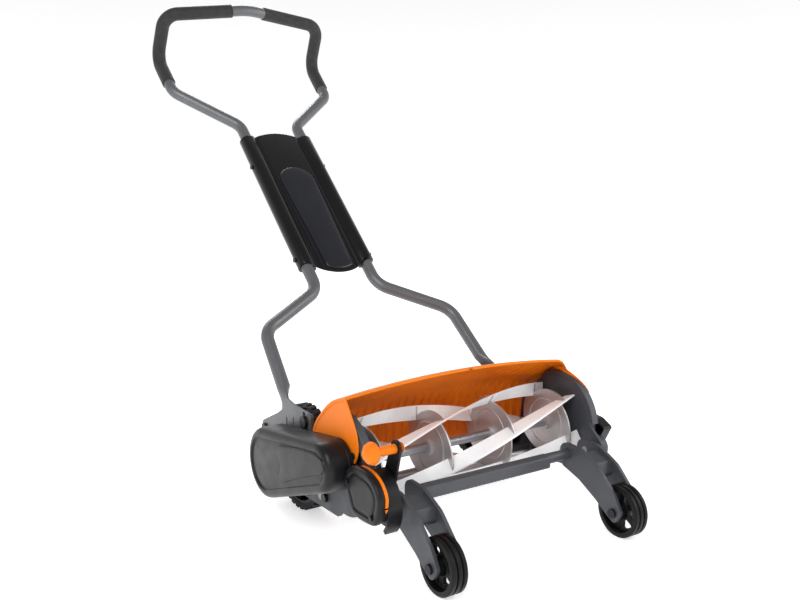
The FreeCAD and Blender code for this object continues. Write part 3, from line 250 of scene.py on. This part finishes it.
SHOWN_AS = {
    "casting": ("side_plate_left", "side_plate_right", "front_fork_left", "front_fork_right", "cross_bar"),
    "tube": ("upper_handle", "lower_tube_left", "lower_tube_right", "handle_bracket_left",
             "handle_bracket_right"),
    "black": ("chain_cover", "chain_case_back", "right_cover", "quadrant_cover", "height_quadrant",
              "height_lever"),
    "gloss": ("handle_panel", "panel_tongue"),
    "orange": ("chute", "height_knob", "height_scale"),
    "wheel": ("front_wheel_left", "front_wheel_right", "rear_hub_left", "rear_hub_right"),
    "tread": ("rear_tyre_left", "rear_tyre_right"),
    "bolt": ("bed_bolts", "bed_adjusters", "front_axle_bolts", "quadrant_screws", "chain_cover_screws",
             "chute_pins", "handle_pivot_bolts", "handle_clamp_knobs", "panel_screws", "drive_chain"),
    "blade": tuple(f"reel_blade_{k}" for k in range(1, 6)),
    "bright": ("bed_knife", "bed_bar"),
    "shaft": ("reel_shaft", "rear_axle", "rear_tie_tube", "disc_pins", "pivot_pins", "axle_sprocket",
              "reel_sprocket"),
    "disc": tuple(f"spider_disc_{k}" for k in range(1, 5)),
    "bronze": ("reel_bearings", "axle_bushes"),
    "grip": ("grip_left", "grip_right"),
}


def dress(obj, look):
    obj.data.materials.clear()
    obj.data.materials.append(LOOK[look])


for look, names in SHOWN_AS.items():
    for name in names:
        dress(frame["nodes"][name], look)


# ---------------------------------------------------------------- mesh helpers

def piece(name, points, faces, look, body, stands_for=(), slot=None, smooth_angle=35.0):
    """A mesh object with its material, riding on a CAD body and standing for CAD nodes."""
    mesh = bpy.data.meshes.new(name)
    mesh.from_pydata([tuple(p) for p in points], [], faces)
    mesh.validate()
    mesh.materials.append(LOOK[look])
    obj = bpy.data.objects.new(name, mesh)
    bpy.context.scene.collection.objects.link(obj)
    for polygon in mesh.polygons:
        polygon.use_smooth = True
    mesh.set_sharp_from_angle(angle=math.radians(smooth_angle))
    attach(obj, body)
    if stands_for:
        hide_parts(*stands_for)
    return obj


def skin(rings):
    """Points and faces of a closed solid through rings of equal length, capped at both ends."""
    size = len(rings[0])
    points = [p for ring in rings for p in ring]
    faces = []
    for r in range(len(rings) - 1):
        for k in range(size):
            after = (k + 1) % size
            faces.append((r * size + k, r * size + after, (r + 1) * size + after, (r + 1) * size + k))
    faces.append(tuple(reversed(range(size))))
    faces.append(tuple((len(rings) - 1) * size + k for k in range(size)))
    return points, faces


def joined(*meshes):
    """Several (points, faces) meshes as one."""
    points, faces = [], []
    for some_points, some_faces in meshes:
        start = len(points)
        points += some_points
        faces += [tuple(start + k for k in face) for face in some_faces]
    return points, faces


def rolled(path, radius, sides=10):
    """A round bead swept along a path of points."""
    rings = []
    for k, at in enumerate(path):
        ahead = (path[min(k + 1, len(path) - 1)] - path[max(k - 1, 0)]).normalized()
        side = ahead.cross(X)
        if side.length < 1e-4:
            side = ahead.cross(Vector((0, 0, 1)))
        side.normalize()
        up = side.cross(ahead)
        turns = [2 * math.pi * j / sides for j in range(sides)]
        rings.append([at + (side * math.cos(turn) + up * math.sin(turn)) * radius for turn in turns])
    return skin(rings)


def clamp(value):
    """The value, held between 0 and 1."""
    return max(0.0, min(1.0, value))


def around(centre, radius, degrees, x):
    """A point round a centre in the YZ plane: 0 degrees is to the rear, 90 is up."""
    a = math.radians(degrees)
    return Vector((x, centre.y + radius * math.cos(a), centre.z + radius * math.sin(a)))


# ---------------------------------------------------------------- reel blades

BLADES = 5
TIP = max(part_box(f"reel_blade_{k}")[1].z for k in range(1, BLADES + 1)) - REEL.z
BLADE_LOW, BLADE_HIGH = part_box("reel_blade_1")[0].x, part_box("reel_blade_1")[1].x
CUT = BLADE_HIGH - BLADE_LOW
# degrees: the strip's lean from the radius, its twist along the reel, and where the first one starts
BLADE_LEAN = 31.0
BLADE_TWIST = 110.0
BLADE_PHASE = 113.0
# the strip's section in mm, inwards from the tip and through its thickness
BLADE_SECTION = ((0, 0), (0.25, 0), (8, 0), (16, 0), (24, 0), (26.6, 0), (27, 0.4), (27, 2.1), (26.6, 2.5),
                 (24, 2.5), (16, 2.5), (8, 2.5), (3.2, 2.5), (2.5, 2.3))
STATIONS = 72


def blade_ring(x, index):
    """The strip's section at x: a ground edge at the tip, small rounds on the other corners."""
    turn = BLADE_PHASE + 360 / BLADES * index - BLADE_TWIST * x / CUT
    tip = around(REEL, TIP, turn, x)
    lean = math.radians(turn + BLADE_LEAN)
    inward = Vector((0, -math.cos(lean), -math.sin(lean)))
    back = X.cross(inward)
    return [tip + inward * (u * MM) + back * (v * MM) for u, v in BLADE_SECTION]


for index in range(BLADES):
    rings = [blade_ring(BLADE_LOW + CUT * k / STATIONS, index) for k in range(STATIONS + 1)]
    points, faces = skin(rings)
    piece(f"blade_strip_{index + 1}", points, faces, "blade", "reel", (f"reel_blade_{index + 1}",),
          "reel_steel")


# ---------------------------------------------------------------- outlines

def smooth_loop(corners, count, sharp=0.0):
    """A closed Catmull-Rom curve through the corners, with count points."""
    n = len(corners)
    spots = []
    for k in range(count):
        t = k * n / count
        i, f = int(t) % n, t - int(t)
        p0, p1, p2, p3 = (Vector(corners[(i + d) % n]) for d in (-1, 0, 1, 2))
        curve = 0.5 * ((2 * p1) + (p2 - p0) * f + (2 * p0 - 5 * p1 + 4 * p2 - p3) * f ** 2
                       + (3 * p1 - p0 - 3 * p2 + p3) * f ** 3)
        straight = p1.lerp(p2, f)
        spots.append(curve.lerp(straight, sharp))
    return spots


def smooth_line(corners, count):
    """An open Catmull-Rom curve through the corners, with count + 1 points."""
    n = len(corners) - 1
    spots = []
    for k in range(count + 1):
        t = min(k * n / count, n - 1e-6)
        i, f = int(t), t - int(t)
        p0, p1, p2, p3 = (Vector(corners[min(max(i + d, 0), n)]) for d in (-1, 0, 1, 2))
        spots.append(0.5 * ((2 * p1) + (p2 - p0) * f + (2 * p0 - 5 * p1 + 4 * p2 - p3) * f ** 2
                            + (3 * p1 - p0 - 3 * p2 + p3) * f ** 3))
    return spots


def even(loop, count):
    """The same closed loop with its points spaced evenly."""
    ends = loop + [loop[0]]
    steps = [(b - a).length for a, b in zip(ends, ends[1:])]
    total, spots, i, run = sum(steps), [], 0, 0.0
    for k in range(count):
        target = total * k / count
        while run + steps[i] < target:
            run += steps[i]
            i += 1
        spots.append(ends[i].lerp(ends[i + 1], (target - run) / max(steps[i], 1e-9)))
    return spots


def counter_clockwise(loop):
    """The loop, turned round if it runs clockwise."""
    area = sum(p.x * q.y - q.x * p.y for p, q in zip(loop, loop[1:] + loop[:1]))
    return loop[::-1] if area < 0 else loop


def inset(loop, amount):
    """A closed loop in a plane moved inwards by amount, for loops that run counter-clockwise."""
    n = len(loop)
    moved = []
    for k in range(n):
        along = (loop[(k + 1) % n] - loop[k - 1]).normalized()
        moved.append(loop[k] + Vector((-along.y, along.x)) * amount)
    return moved


def shrunk(loop, amount):
    """A closed loop drawn towards its middle by amount at most, for loops that are nearly round."""
    middle = sum(loop, Vector((0, 0))) / len(loop)
    return [p.lerp(middle, min(0.95, amount / (p - middle).length)) for p in loop]


def belt(circle_a, circle_b, count):
    """The outline round two circles ((u, v), radius) as a counter-clockwise loop."""
    (a, ra), (b, rb) = circle_a, circle_b
    a, b = Vector(a), Vector(b)
    gap = b - a
    base = math.atan2(gap.y, gap.x)
    lean = math.acos((ra - rb) / gap.length)
    steps = range(61)
    wide = [base + lean + (2 * math.pi - 2 * lean) * k / 60 for k in steps]
    narrow = [base - lean + 2 * lean * k / 60 for k in steps]
    first = [a + Vector((math.cos(t), math.sin(t))) * ra for t in wide]
    second = [b + Vector((math.cos(t), math.sin(t))) * rb for t in narrow]
    return even(first + second, count)


def at_x(loop, x):
    """A loop in the YZ plane, stood up at x."""
    return [Vector((x, p.x, p.y)) for p in loop]


# ---------------------------------------------------------------- chute

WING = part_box("chute")[1].x
HOOD_RADIUS = 94 * MM
FLARE = 31 * MM
CROWN = 17 * MM
SHEET = 3 * MM
LIP_ANGLE, REAR_ANGLE, APRON_ANGLE = 103.0, 24.0, -22.0
# beyond this distance from the middle the apron stops short, to clear the rear wheels
WHEEL_GAP = 215 * MM
RIB_PITCH, RIB_HEIGHT = 18 * MM, 3.4 * MM
WAVE_PITCH, WAVE_HEIGHT, WAVE_SLANT = 17 * MM, 2.6 * MM, 17.0


def hood_radius(x, degrees):
    """The hood's outer radius: even at the rear and flared to its lip, crowned between the wings."""
    flare = max(0.0, (degrees - 50) / (LIP_ANGLE - 50))
    return HOOD_RADIUS + FLARE * flare ** 1.55 + CROWN * (1 - (x / WING) ** 2)


def mid_sheet(x, degrees):
    """The middle of the hood's sheet."""
    return around(REEL, hood_radius(x, degrees) - SHEET / 2, degrees, x)


def ribs(x, degrees):
    """How far the inner face stands in: upright ribs low down, slanted waves near the top of each end."""
    low = clamp((44 - degrees) / 10) * clamp((degrees + 16) / 6)
    upright = RIB_HEIGHT * low * max(0.0, math.cos(2 * math.pi * x / RIB_PITCH)) ** 2
    high = clamp((degrees - 52) / 8) * clamp((98 - degrees) / 8)
    share = clamp((abs(x) / WING - 0.38) / 0.14) * clamp((0.97 - abs(x) / WING) / 0.06)
    wave = max(0.0, math.sin(2 * math.pi * (x / WAVE_PITCH - degrees / WAVE_SLANT))) ** 2
    return upright + WAVE_HEIGHT * high * share * wave


def chute_hood():
    """A closed sheet from the lip to the apron: a smooth outer face and a ribbed inner one."""
    columns, rows = 420, 60
    angles = [LIP_ANGLE - (LIP_ANGLE - APRON_ANGLE) * k / rows for k in range(rows + 1)]
    rings = []
    for c in range(columns + 1):
        x = -WING + 2 * WING * c / columns
        beside = abs(x) > WHEEL_GAP
        stop = REAR_ANGLE if beside else APRON_ANGLE
        line = [max(angle, stop) for angle in angles]
        outer = [around(REEL, hood_radius(x, t), t, x) for t in line]
        inner = [around(REEL, hood_radius(x, t) - SHEET - ribs(x, t), t, x) for t in reversed(line)]
        rings.append(outer + inner)
    return skin(rings)


def lip_bead():
    """The round bead along the lip, from wing to wing."""
    count = 60
    path = [mid_sheet(-WING + 1 * MM + (2 * WING - 2 * MM) * k / count, LIP_ANGLE) for k in range(count + 1)]
    return rolled(path, 2.4 * MM)


def chute_wing(side):
    """A flat end wall with a raised bead round its bulging front edge and a sunk face."""
    py, pz = SPOT["chute_tilt"].y, SPOT["chute_tilt"].z
    lip = mid_sheet(WING, LIP_ANGLE)
    front = smooth_line([(lip.y, lip.z), (py - 8 * MM, pz + 42 * MM), (py - 15 * MM, pz + 12 * MM),
                         (py - 7 * MM, pz - 9 * MM)], 30)
    foot = [Vector((py - 2 * MM, pz - 13 * MM)), Vector((py + 4 * MM, pz - 13 * MM))]
    rise = [mid_sheet(WING, REAR_ANGLE + (LIP_ANGLE - REAR_ANGLE) * k / 40) for k in range(40)]
    back = [Vector((p.y, p.z)) for p in rise]
    loop = counter_clockwise(even(front + foot + back, 160))
    outer = side * (WING - 0.1 * MM)
    inner = side * (WING - 2.4 * MM)
    sunk = outer - side * 1.2 * MM
    steps = ((0.0, inner), (0.0, inner + side * 1.2 * MM), (0.5 * MM, outer), (4.0 * MM, outer),
             (5.2 * MM, outer - side * 1.1 * MM), (9 * MM, sunk), (30 * MM, sunk))
    return skin([at_x(shrunk(loop, amount), x) for amount, x in steps])


def drawn_in(point):
    """The point, moved in near the lip's +X end, which the photo shows rounded."""
    if point.x <= 0:
        return point
    offset = Vector((0, point.y, point.z)) - Vector((0, REEL.y, REEL.z))
    angle = math.degrees(math.atan2(offset.z, offset.y))
    share = clamp((angle - 35) / 40) * clamp((offset.length - 93 * MM) / (30 * MM))
    end = clamp((point.x / WING - 0.88) / 0.12) ** 2
    radius = offset.length - 17 * MM * share * end
    return around(REEL, radius, angle, point.x * (1 - 0.09 * share * min(1.0, point.x / WING)))


chute_points, chute_faces = joined(chute_hood(), lip_bead(), chute_wing(-1), chute_wing(1))
piece("chute_shell", [drawn_in(p) for p in chute_points], chute_faces, "orange", "chute", ("chute",),
      "orange_plastic")


# ---------------------------------------------------------------- chain case

CASE_LOW, CASE_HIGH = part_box("chain_cover")
CASE_REAR = (AXLE.y - 6 * MM, AXLE.z + 4.3 * MM)
CASE_NOSE = (REEL.y - 16 * MM, REEL.z + 11 * MM)
CASE_LOOP = belt((CASE_REAR, 64 * MM), (CASE_NOSE, 42 * MM), 200)
# corners of the raised triangular panel on its face, (y, z) in mm
PAD_CORNERS = ((126, 152), (52, 171), (-12, 181), (-40, 178), (-49, 164), (-38, 152), (-10, 142), (56, 115),
               (112, 90), (121, 95), (112, 122))


def lofted(loop, steps):
    """A closed solid through insets of a loop, each (inset in mm, x), capped at both ends."""
    return skin([at_x(inset(loop, amount * MM), x) for amount, x in steps])


def chain_case():
    """The case with a groove near its back, a rounded rim and a sunk face, and the raised panel on it."""
    face, back = CASE_LOW.x, CASE_HIGH.x
    steps = ((0.0, back), (0.0, back - 5 * MM), (0.7, back - 5.6 * MM), (0.7, back - 7.2 * MM),
             (0.0, back - 7.8 * MM), (0.0, face + 15 * MM), (0.5, face + 10 * MM), (1.8, face + 6.2 * MM),
             (4.0, face + 3.2 * MM), (7.0, face + 1.2 * MM), (10.5, face + 0.2 * MM), (13.0, face),
             (15.0, face + 0.1 * MM), (16.0, face + 0.8 * MM), (16.8, face + 2.4 * MM),
             (18.2, face + 3.0 * MM), (19.6, face + 2.6 * MM), (24.0, face + 1.8 * MM))
    corners = [(y * MM, z * MM) for y, z in PAD_CORNERS]
    pad = counter_clockwise(even(smooth_loop(corners, 330, 0.35), 150))
    pad_steps = ((-3.0, face + 6 * MM), (-2.6, face + 2.2 * MM), (-1.2, face + 1.7 * MM),
                 (0.0, face + 1.0 * MM), (0.7, face - 0.9 * MM), (1.9, face - 1.9 * MM),
                 (4.2, face - 2.1 * MM))
    return joined(lofted(CASE_LOOP, steps), lofted(pad, pad_steps))


piece("chain_case_shell", *chain_case(), "black", "deck", ("chain_cover",), "black_plastic")


# ---------------------------------------------------------------- height quadrant's cover and scale

COVER_LOW, COVER_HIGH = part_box("quadrant_cover")
# corners of the cover's outline in mm from the carriage's pivot, (y, z)
COVER_CORNERS = ((44, 30), (38, 46), (24, 56), (2, 60), (-24, 59), (-46, 50), (-60, 34), (-62, 18), (-55, -6),
                 (-46, -17), (-26, -21), (2, -22), (22, -17), (36, 6))
COVER_LOOP = even(smooth_loop([(PIVOT.y + y * MM, PIVOT.z + z * MM) for y, z in COVER_CORNERS], 420), 180)


def quadrant_shell():
    """The cover on its narrower drum: a rounded rim, then a sunk ring round a flat middle."""
    face, base = COVER_LOW.x, COVER_HIGH.x
    steps = ((2.6, base), (2.6, base - 9.5 * MM), (0.4, base - 9.6 * MM), (0.0, base - 10 * MM),
             (0.0, face + 4.4 * MM), (0.5, face + 2.2 * MM), (1.8, face + 0.7 * MM), (3.8, face), (9.0, face),
             (10.2, face + 0.3 * MM), (11.0, face + 1.6 * MM), (12.4, face + 2.4 * MM),
             (14.0, face + 2.5 * MM), (15.2, face + 2.0 * MM), (16.0, face + 0.9 * MM),
             (17.4, face + 0.5 * MM), (22.0, face + 0.5 * MM))
    rings = []
    for amount, x in steps:
        narrowed = inset if amount < 4 else shrunk
        rings.append(at_x(narrowed(COVER_LOOP, amount * MM), x))
    return skin(rings)


piece("quadrant_shell", *quadrant_shell(), "black", "deck", ("quadrant_cover",), "black_plastic")


def scale_band():
    """The orange strip round the drum behind the cover's rim, with a small arrow at its lower end."""
    hub = Vector((PIVOT.y - 10 * MM, PIVOT.z + 18 * MM))

    def bearing(p):
        return math.degrees(math.atan2(p.y - hub.y, p.x - hub.x)) % 360

    spots = sorted((p for p in inset(COVER_LOOP, 1.7 * MM) if 62 < bearing(p) < 186), key=bearing)
    far, near = COVER_HIGH.x - 2.4 * MM, COVER_HIGH.x - 7.6 * MM
    rings = []
    for k, p in enumerate(spots):
        ahead = (spots[min(k + 1, len(spots) - 1)] - spots[max(k - 1, 0)]).normalized()
        out = Vector((ahead.y, -ahead.x))
        low, high = p - out * 0.8 * MM, p + out * 0.9 * MM
        rings.append([Vector((far, low.x, low.y)), Vector((far, high.x, high.y)),
                      Vector((near, high.x, high.y)), Vector((near, low.x, low.y))])
    last = spots[-1]
    start = last + Vector((0, -3 * MM))
    tip = last + Vector((0.6 * MM, -9 * MM))
    outline = ((near, start), (far, start), (far - 3.6 * MM, tip))
    arrow = [Vector((x, p.x + d, p.y)) for d in (-1.2 * MM, 0.6 * MM) for x, p in outline]
    return joined(skin(rings), (arrow, [(0, 1, 2), (5, 4, 3), (0, 3, 4, 1), (1, 4, 5, 2), (2, 5, 3, 0)]))


piece("scale_band", *scale_band(), "orange", "deck", ("height_scale",), "orange_plastic")


# ---------------------------------------------------------------- side plates' shoulders

SHOULDER_RADIUS = 95 * MM
SHOULDER_FOOT = 80 * MM


def shoulder(side):
    """The plate's raised shoulder under the chute's lip, which closes the reel's end from the inside."""
    inner = side * (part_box("side_plate_right")[0].x + 0.2 * MM)
    outer = side * (WING - 4.2 * MM)
    far = abs(outer)
    edge = [around(REEL, min(SHOULDER_RADIUS, hood_radius(far, t) - SHEET - 4.5 * MM), t, 0)
            for t in range(52, 173, 6)]
    front = smooth_line([(p.y, p.z) for p in edge], 90)
    back = [around(REEL, SHOULDER_FOOT, t, 0) for t in range(168, 50, -6)]
    loop = counter_clockwise(front + [Vector((p.y, p.z)) for p in back])
    return lofted(loop, ((0.9, inner), (0.0, inner + side * 0.9 * MM), (0.0, outer - side * 0.8 * MM),
                         (0.8, outer)))


piece("plate_shoulders", *joined(shoulder(-1), shoulder(1)), "casting", "deck", (), "casting")


# ---------------------------------------------------------------- handle panel

# the handle's plane: its slope and the point that distances up it start from
SLOPE = math.radians(42)
FOOT = Vector((0, 0.240, 0.221))
# in mm: the sleeves' distance from the middle, their radius, and the panel's two ends up the handle
SPAN, SLEEVE, LOW_UP, HIGH_UP = 72.0, 18.5, 283.0, 676.0
# the tongue in mm: half its width at the arch and at the foot, and the heights of the arch, foot and middle
ARCH_HALF, FOOT_HALF, ARCH_UP, FOOT_UP, MIDDLE_UP = 43, 31, 530, 271, 415


def on_handle(across, up, proud):
    """A point given in mm across the handle, up its slope from the foot, and proud of its plane."""
    return FOOT + Vector((across, up * math.cos(SLOPE) - proud * math.sin(SLOPE),
                          up * math.sin(SLOPE) + proud * math.cos(SLOPE))) * MM


def web_proud(across):
    """How far the web's bowed face stands proud, in mm."""
    return 9.6 + 2.4 * max(0.0, 1 - (across / 58) ** 2)


def panel_body():
    """Two sleeves and the bowed web between them, its ends arched past the sleeves."""
    turns = [348 * k / 30 for k in range(31)]
    section = []
    for turn in turns:
        a = math.radians(34 + turn)
        section.append((-SPAN + SLEEVE * math.cos(a), SLEEVE * math.sin(a)))
    section += [(x, 7.0 + 2.4 * (1 - (x / 58) ** 2) - 0.2) for x in range(-50, 51, 10)]
    for turn in turns:
        a = math.radians(158 + turn)
        section.append((SPAN + SLEEVE * math.cos(a), SLEEVE * math.sin(a)))
    section += [(54.5, 9.2), (53, 8.6)]
    section += [(x, web_proud(x)) for x in range(50, -51, -5)]
    section += [(-53, 8.6), (-54.5, 9.2)]
    stations = ((0, 0.97), (0.0035, 1.0), (0.25, 1.0), (0.5, 1.0), (0.75, 1.0), (0.9965, 1.0), (1, 0.97))
    rings = []
    for share, draw in stations:
        ring = []
        for across, proud in section:
            bow = max(0.0, 1 - (across / 60) ** 2)
            low, high = LOW_UP - 29 * bow ** 0.7, HIGH_UP + 14 * bow
            ring.append(on_handle(across, low + (high - low) * share, proud * draw))
        rings.append(ring)
    return skin(rings)


def tongue_line():
    """The tongue's arch and its two sides, in mm across and up the handle."""
    turns = [math.radians(degrees) for degrees in range(0, 181, 9)]
    arch = [(math.cos(a) * ARCH_HALF, ARCH_UP + math.sin(a) * 42) for a in turns]
    left = [(-ARCH_HALF + (ARCH_HALF - FOOT_HALF) * k / 20, ARCH_UP - (ARCH_UP - FOOT_UP) * k / 20)
            for k in range(1, 21)]
    right = [(-x, up) for x, up in reversed(left)]
    return arch, left, right


def tongue_body():
    """The tongue: a rounded edge 2 mm wide, then rings that close in on its crowned middle."""
    arch, left, right = tongue_line()
    foot = [(-FOOT_HALF + 2 * FOOT_HALF * k / 12, FOOT_UP - 9 * (1 - (2 * k / 12 - 1) ** 2))
            for k in range(1, 12)]
    loop = [Vector(p) for p in arch + left + foot + right]
    edge = 2.0
    steps = ((0, -1.5), (0, 1.2), (0.7, 2.2), (edge, 2.8), (5.0, 3.4), (10.0, 4.1), (18.0, 4.6), (26.0, 4.7))
    rings = []
    for amount, proud in steps:
        past = max(0.0, amount - edge)
        ring = []
        for p in inset(loop, min(amount, edge)):
            x = p.x * (1 - past / 42)
            up = p.y + (MIDDLE_UP - p.y) * past / 160
            ring.append(on_handle(x, up, web_proud(x) + proud))
        rings.append(ring)
    return skin(rings)


def ridge(side):
    """A fine raised line that leaves the arch and runs down to the panel's lower lip."""
    count = 40
    path = []
    for k in range(count + 1):
        share = k / count
        across = side * (46.0 - 5.5 * share ** 1.5)
        up = 546 - 280 * share
        path.append(on_handle(across, up, web_proud(across) + 0.5))
    return rolled(path, 1.3 * MM, 8)


piece("panel_shell", *panel_body(), "gloss", "handle", ("handle_panel",), "gloss_black")
tongue = joined(tongue_body(), ridge(-1), ridge(1))
# the tongue takes the lightened black, its painted highlight
piece("panel_tongue_shell", *tongue, "tongue", "handle", ("panel_tongue",), "gloss_black")


# ---------------------------------------------------------------- chain case screws, driven from the back

def back_screws():
    """Three screws with their heads on the case's inner side, where the photo can't show them."""
    low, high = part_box("chain_cover_screws")
    rear, nose = Vector((0, *CASE_REAR)), Vector((0, *CASE_NOSE))
    centres = (around(rear, 58.2 * MM, -60, 0), around(rear, 58.2 * MM, 70, 0), around(nose, 26 * MM, 190, 0))
    profile = ((high.x - 0.2 * MM, 2.6), (high.x - 1.8 * MM, 3.0), (high.x - 2.0 * MM, 1.6),
               (low.x + 6 * MM, 1.6))
    turns = range(0, 360, 20)
    screws = []
    for at in centres:
        screws.append(skin([[around(at, radius * MM, turn, x) for turn in turns] for x, radius in profile]))
    return joined(*screws)


piece("case_screws", *back_screws(), "bolt", "deck", ("chain_cover_screws",), "fastener")


# ---------------------------------------------------------------- camera, light and floor

def camera():
    """The photograph's own view, fitted to points of the mower that are known in pairs."""
    data = bpy.data.cameras.new("camera")
    data.sensor_width = 36.0
    data.lens = 40.19
    obj = bpy.data.objects.new("camera", data)
    obj.location = (-0.918, -1.226, 0.659)
    obj.rotation_euler = (math.radians(80.3), 0, math.radians(-32.8))
    bpy.context.scene.collection.objects.link(obj)
    bpy.context.scene.camera = obj


def softbox(name, place, target, width, height, power):
    """A rectangular area light at a place, turned to face the target."""
    data = bpy.data.lights.new(name, "AREA")
    data.shape = "RECTANGLE"
    data.size, data.size_y = width, height
    data.energy = power
    obj = bpy.data.objects.new(name, data)
    obj.location = place
    obj.rotation_euler = (Vector(target) - Vector(place)).to_track_quat("-Z", "Y").to_euler()
    bpy.context.scene.collection.objects.link(obj)


def floor():
    """A white sweep that shows the mower's shadow and glows enough to meet the white background."""
    mesh = bpy.data.meshes.new("floor")
    half = 14.0
    corners = [(-half, -half, 0), (half, -half, 0), (half, half, 0), (-half, half, 0)]
    mesh.from_pydata(corners, [], [(0, 1, 2, 3)])
    n = Nodes("floor_white")
    tone = n.spread(n.noise(1.5, 2.0), 0, 1)
    white = n.blend(tone, (0.93, 0.93, 0.93), (0.96, 0.96, 0.96))
    mesh.materials.append(n.out(Base_Color=white, Roughness=0.9, Emission_Color=(1, 1, 1, 1),
                                Emission_Strength=0.52))
    obj = bpy.data.objects.new("floor", mesh)
    bpy.context.scene.collection.objects.link(obj)


world = bpy.data.worlds.new("studio")
bpy.context.scene.world = world
world.use_nodes = True
sky = world.node_tree
up = sky.nodes.new("ShaderNodeTexCoord")
split = sky.nodes.new("ShaderNodeSeparateXYZ")
ramp = sky.nodes.new("ShaderNodeMapRange")
sky.links.new(up.outputs["Generated"], split.inputs[0])
sky.links.new(split.outputs["Z"], ramp.inputs["Value"])
for key, amount in (("From Min", 0.12), ("From Max", 0.75), ("To Min", 1.0), ("To Max", 0.35)):
    ramp.inputs[key].default_value = amount
sky.links.new(ramp.outputs["Result"], sky.nodes["Background"].inputs["Strength"])
sky.nodes["Background"].inputs["Color"].default_value = (1, 1, 1, 1)
bpy.context.scene.view_settings.view_transform = "Standard"

camera()
floor()
softbox("key", (-2.2, -1.6, 2.6), (0, 0.2, 0.4), 1.8, 1.8, 60)
softbox("fill", (2.6, -1.8, 1.8), (0, 0.2, 0.3), 2.2, 1.6, 40)
softbox("rim", (0.5, 3.2, 2.6), (0, 0.2, 0.5), 2.4, 1.2, 50)
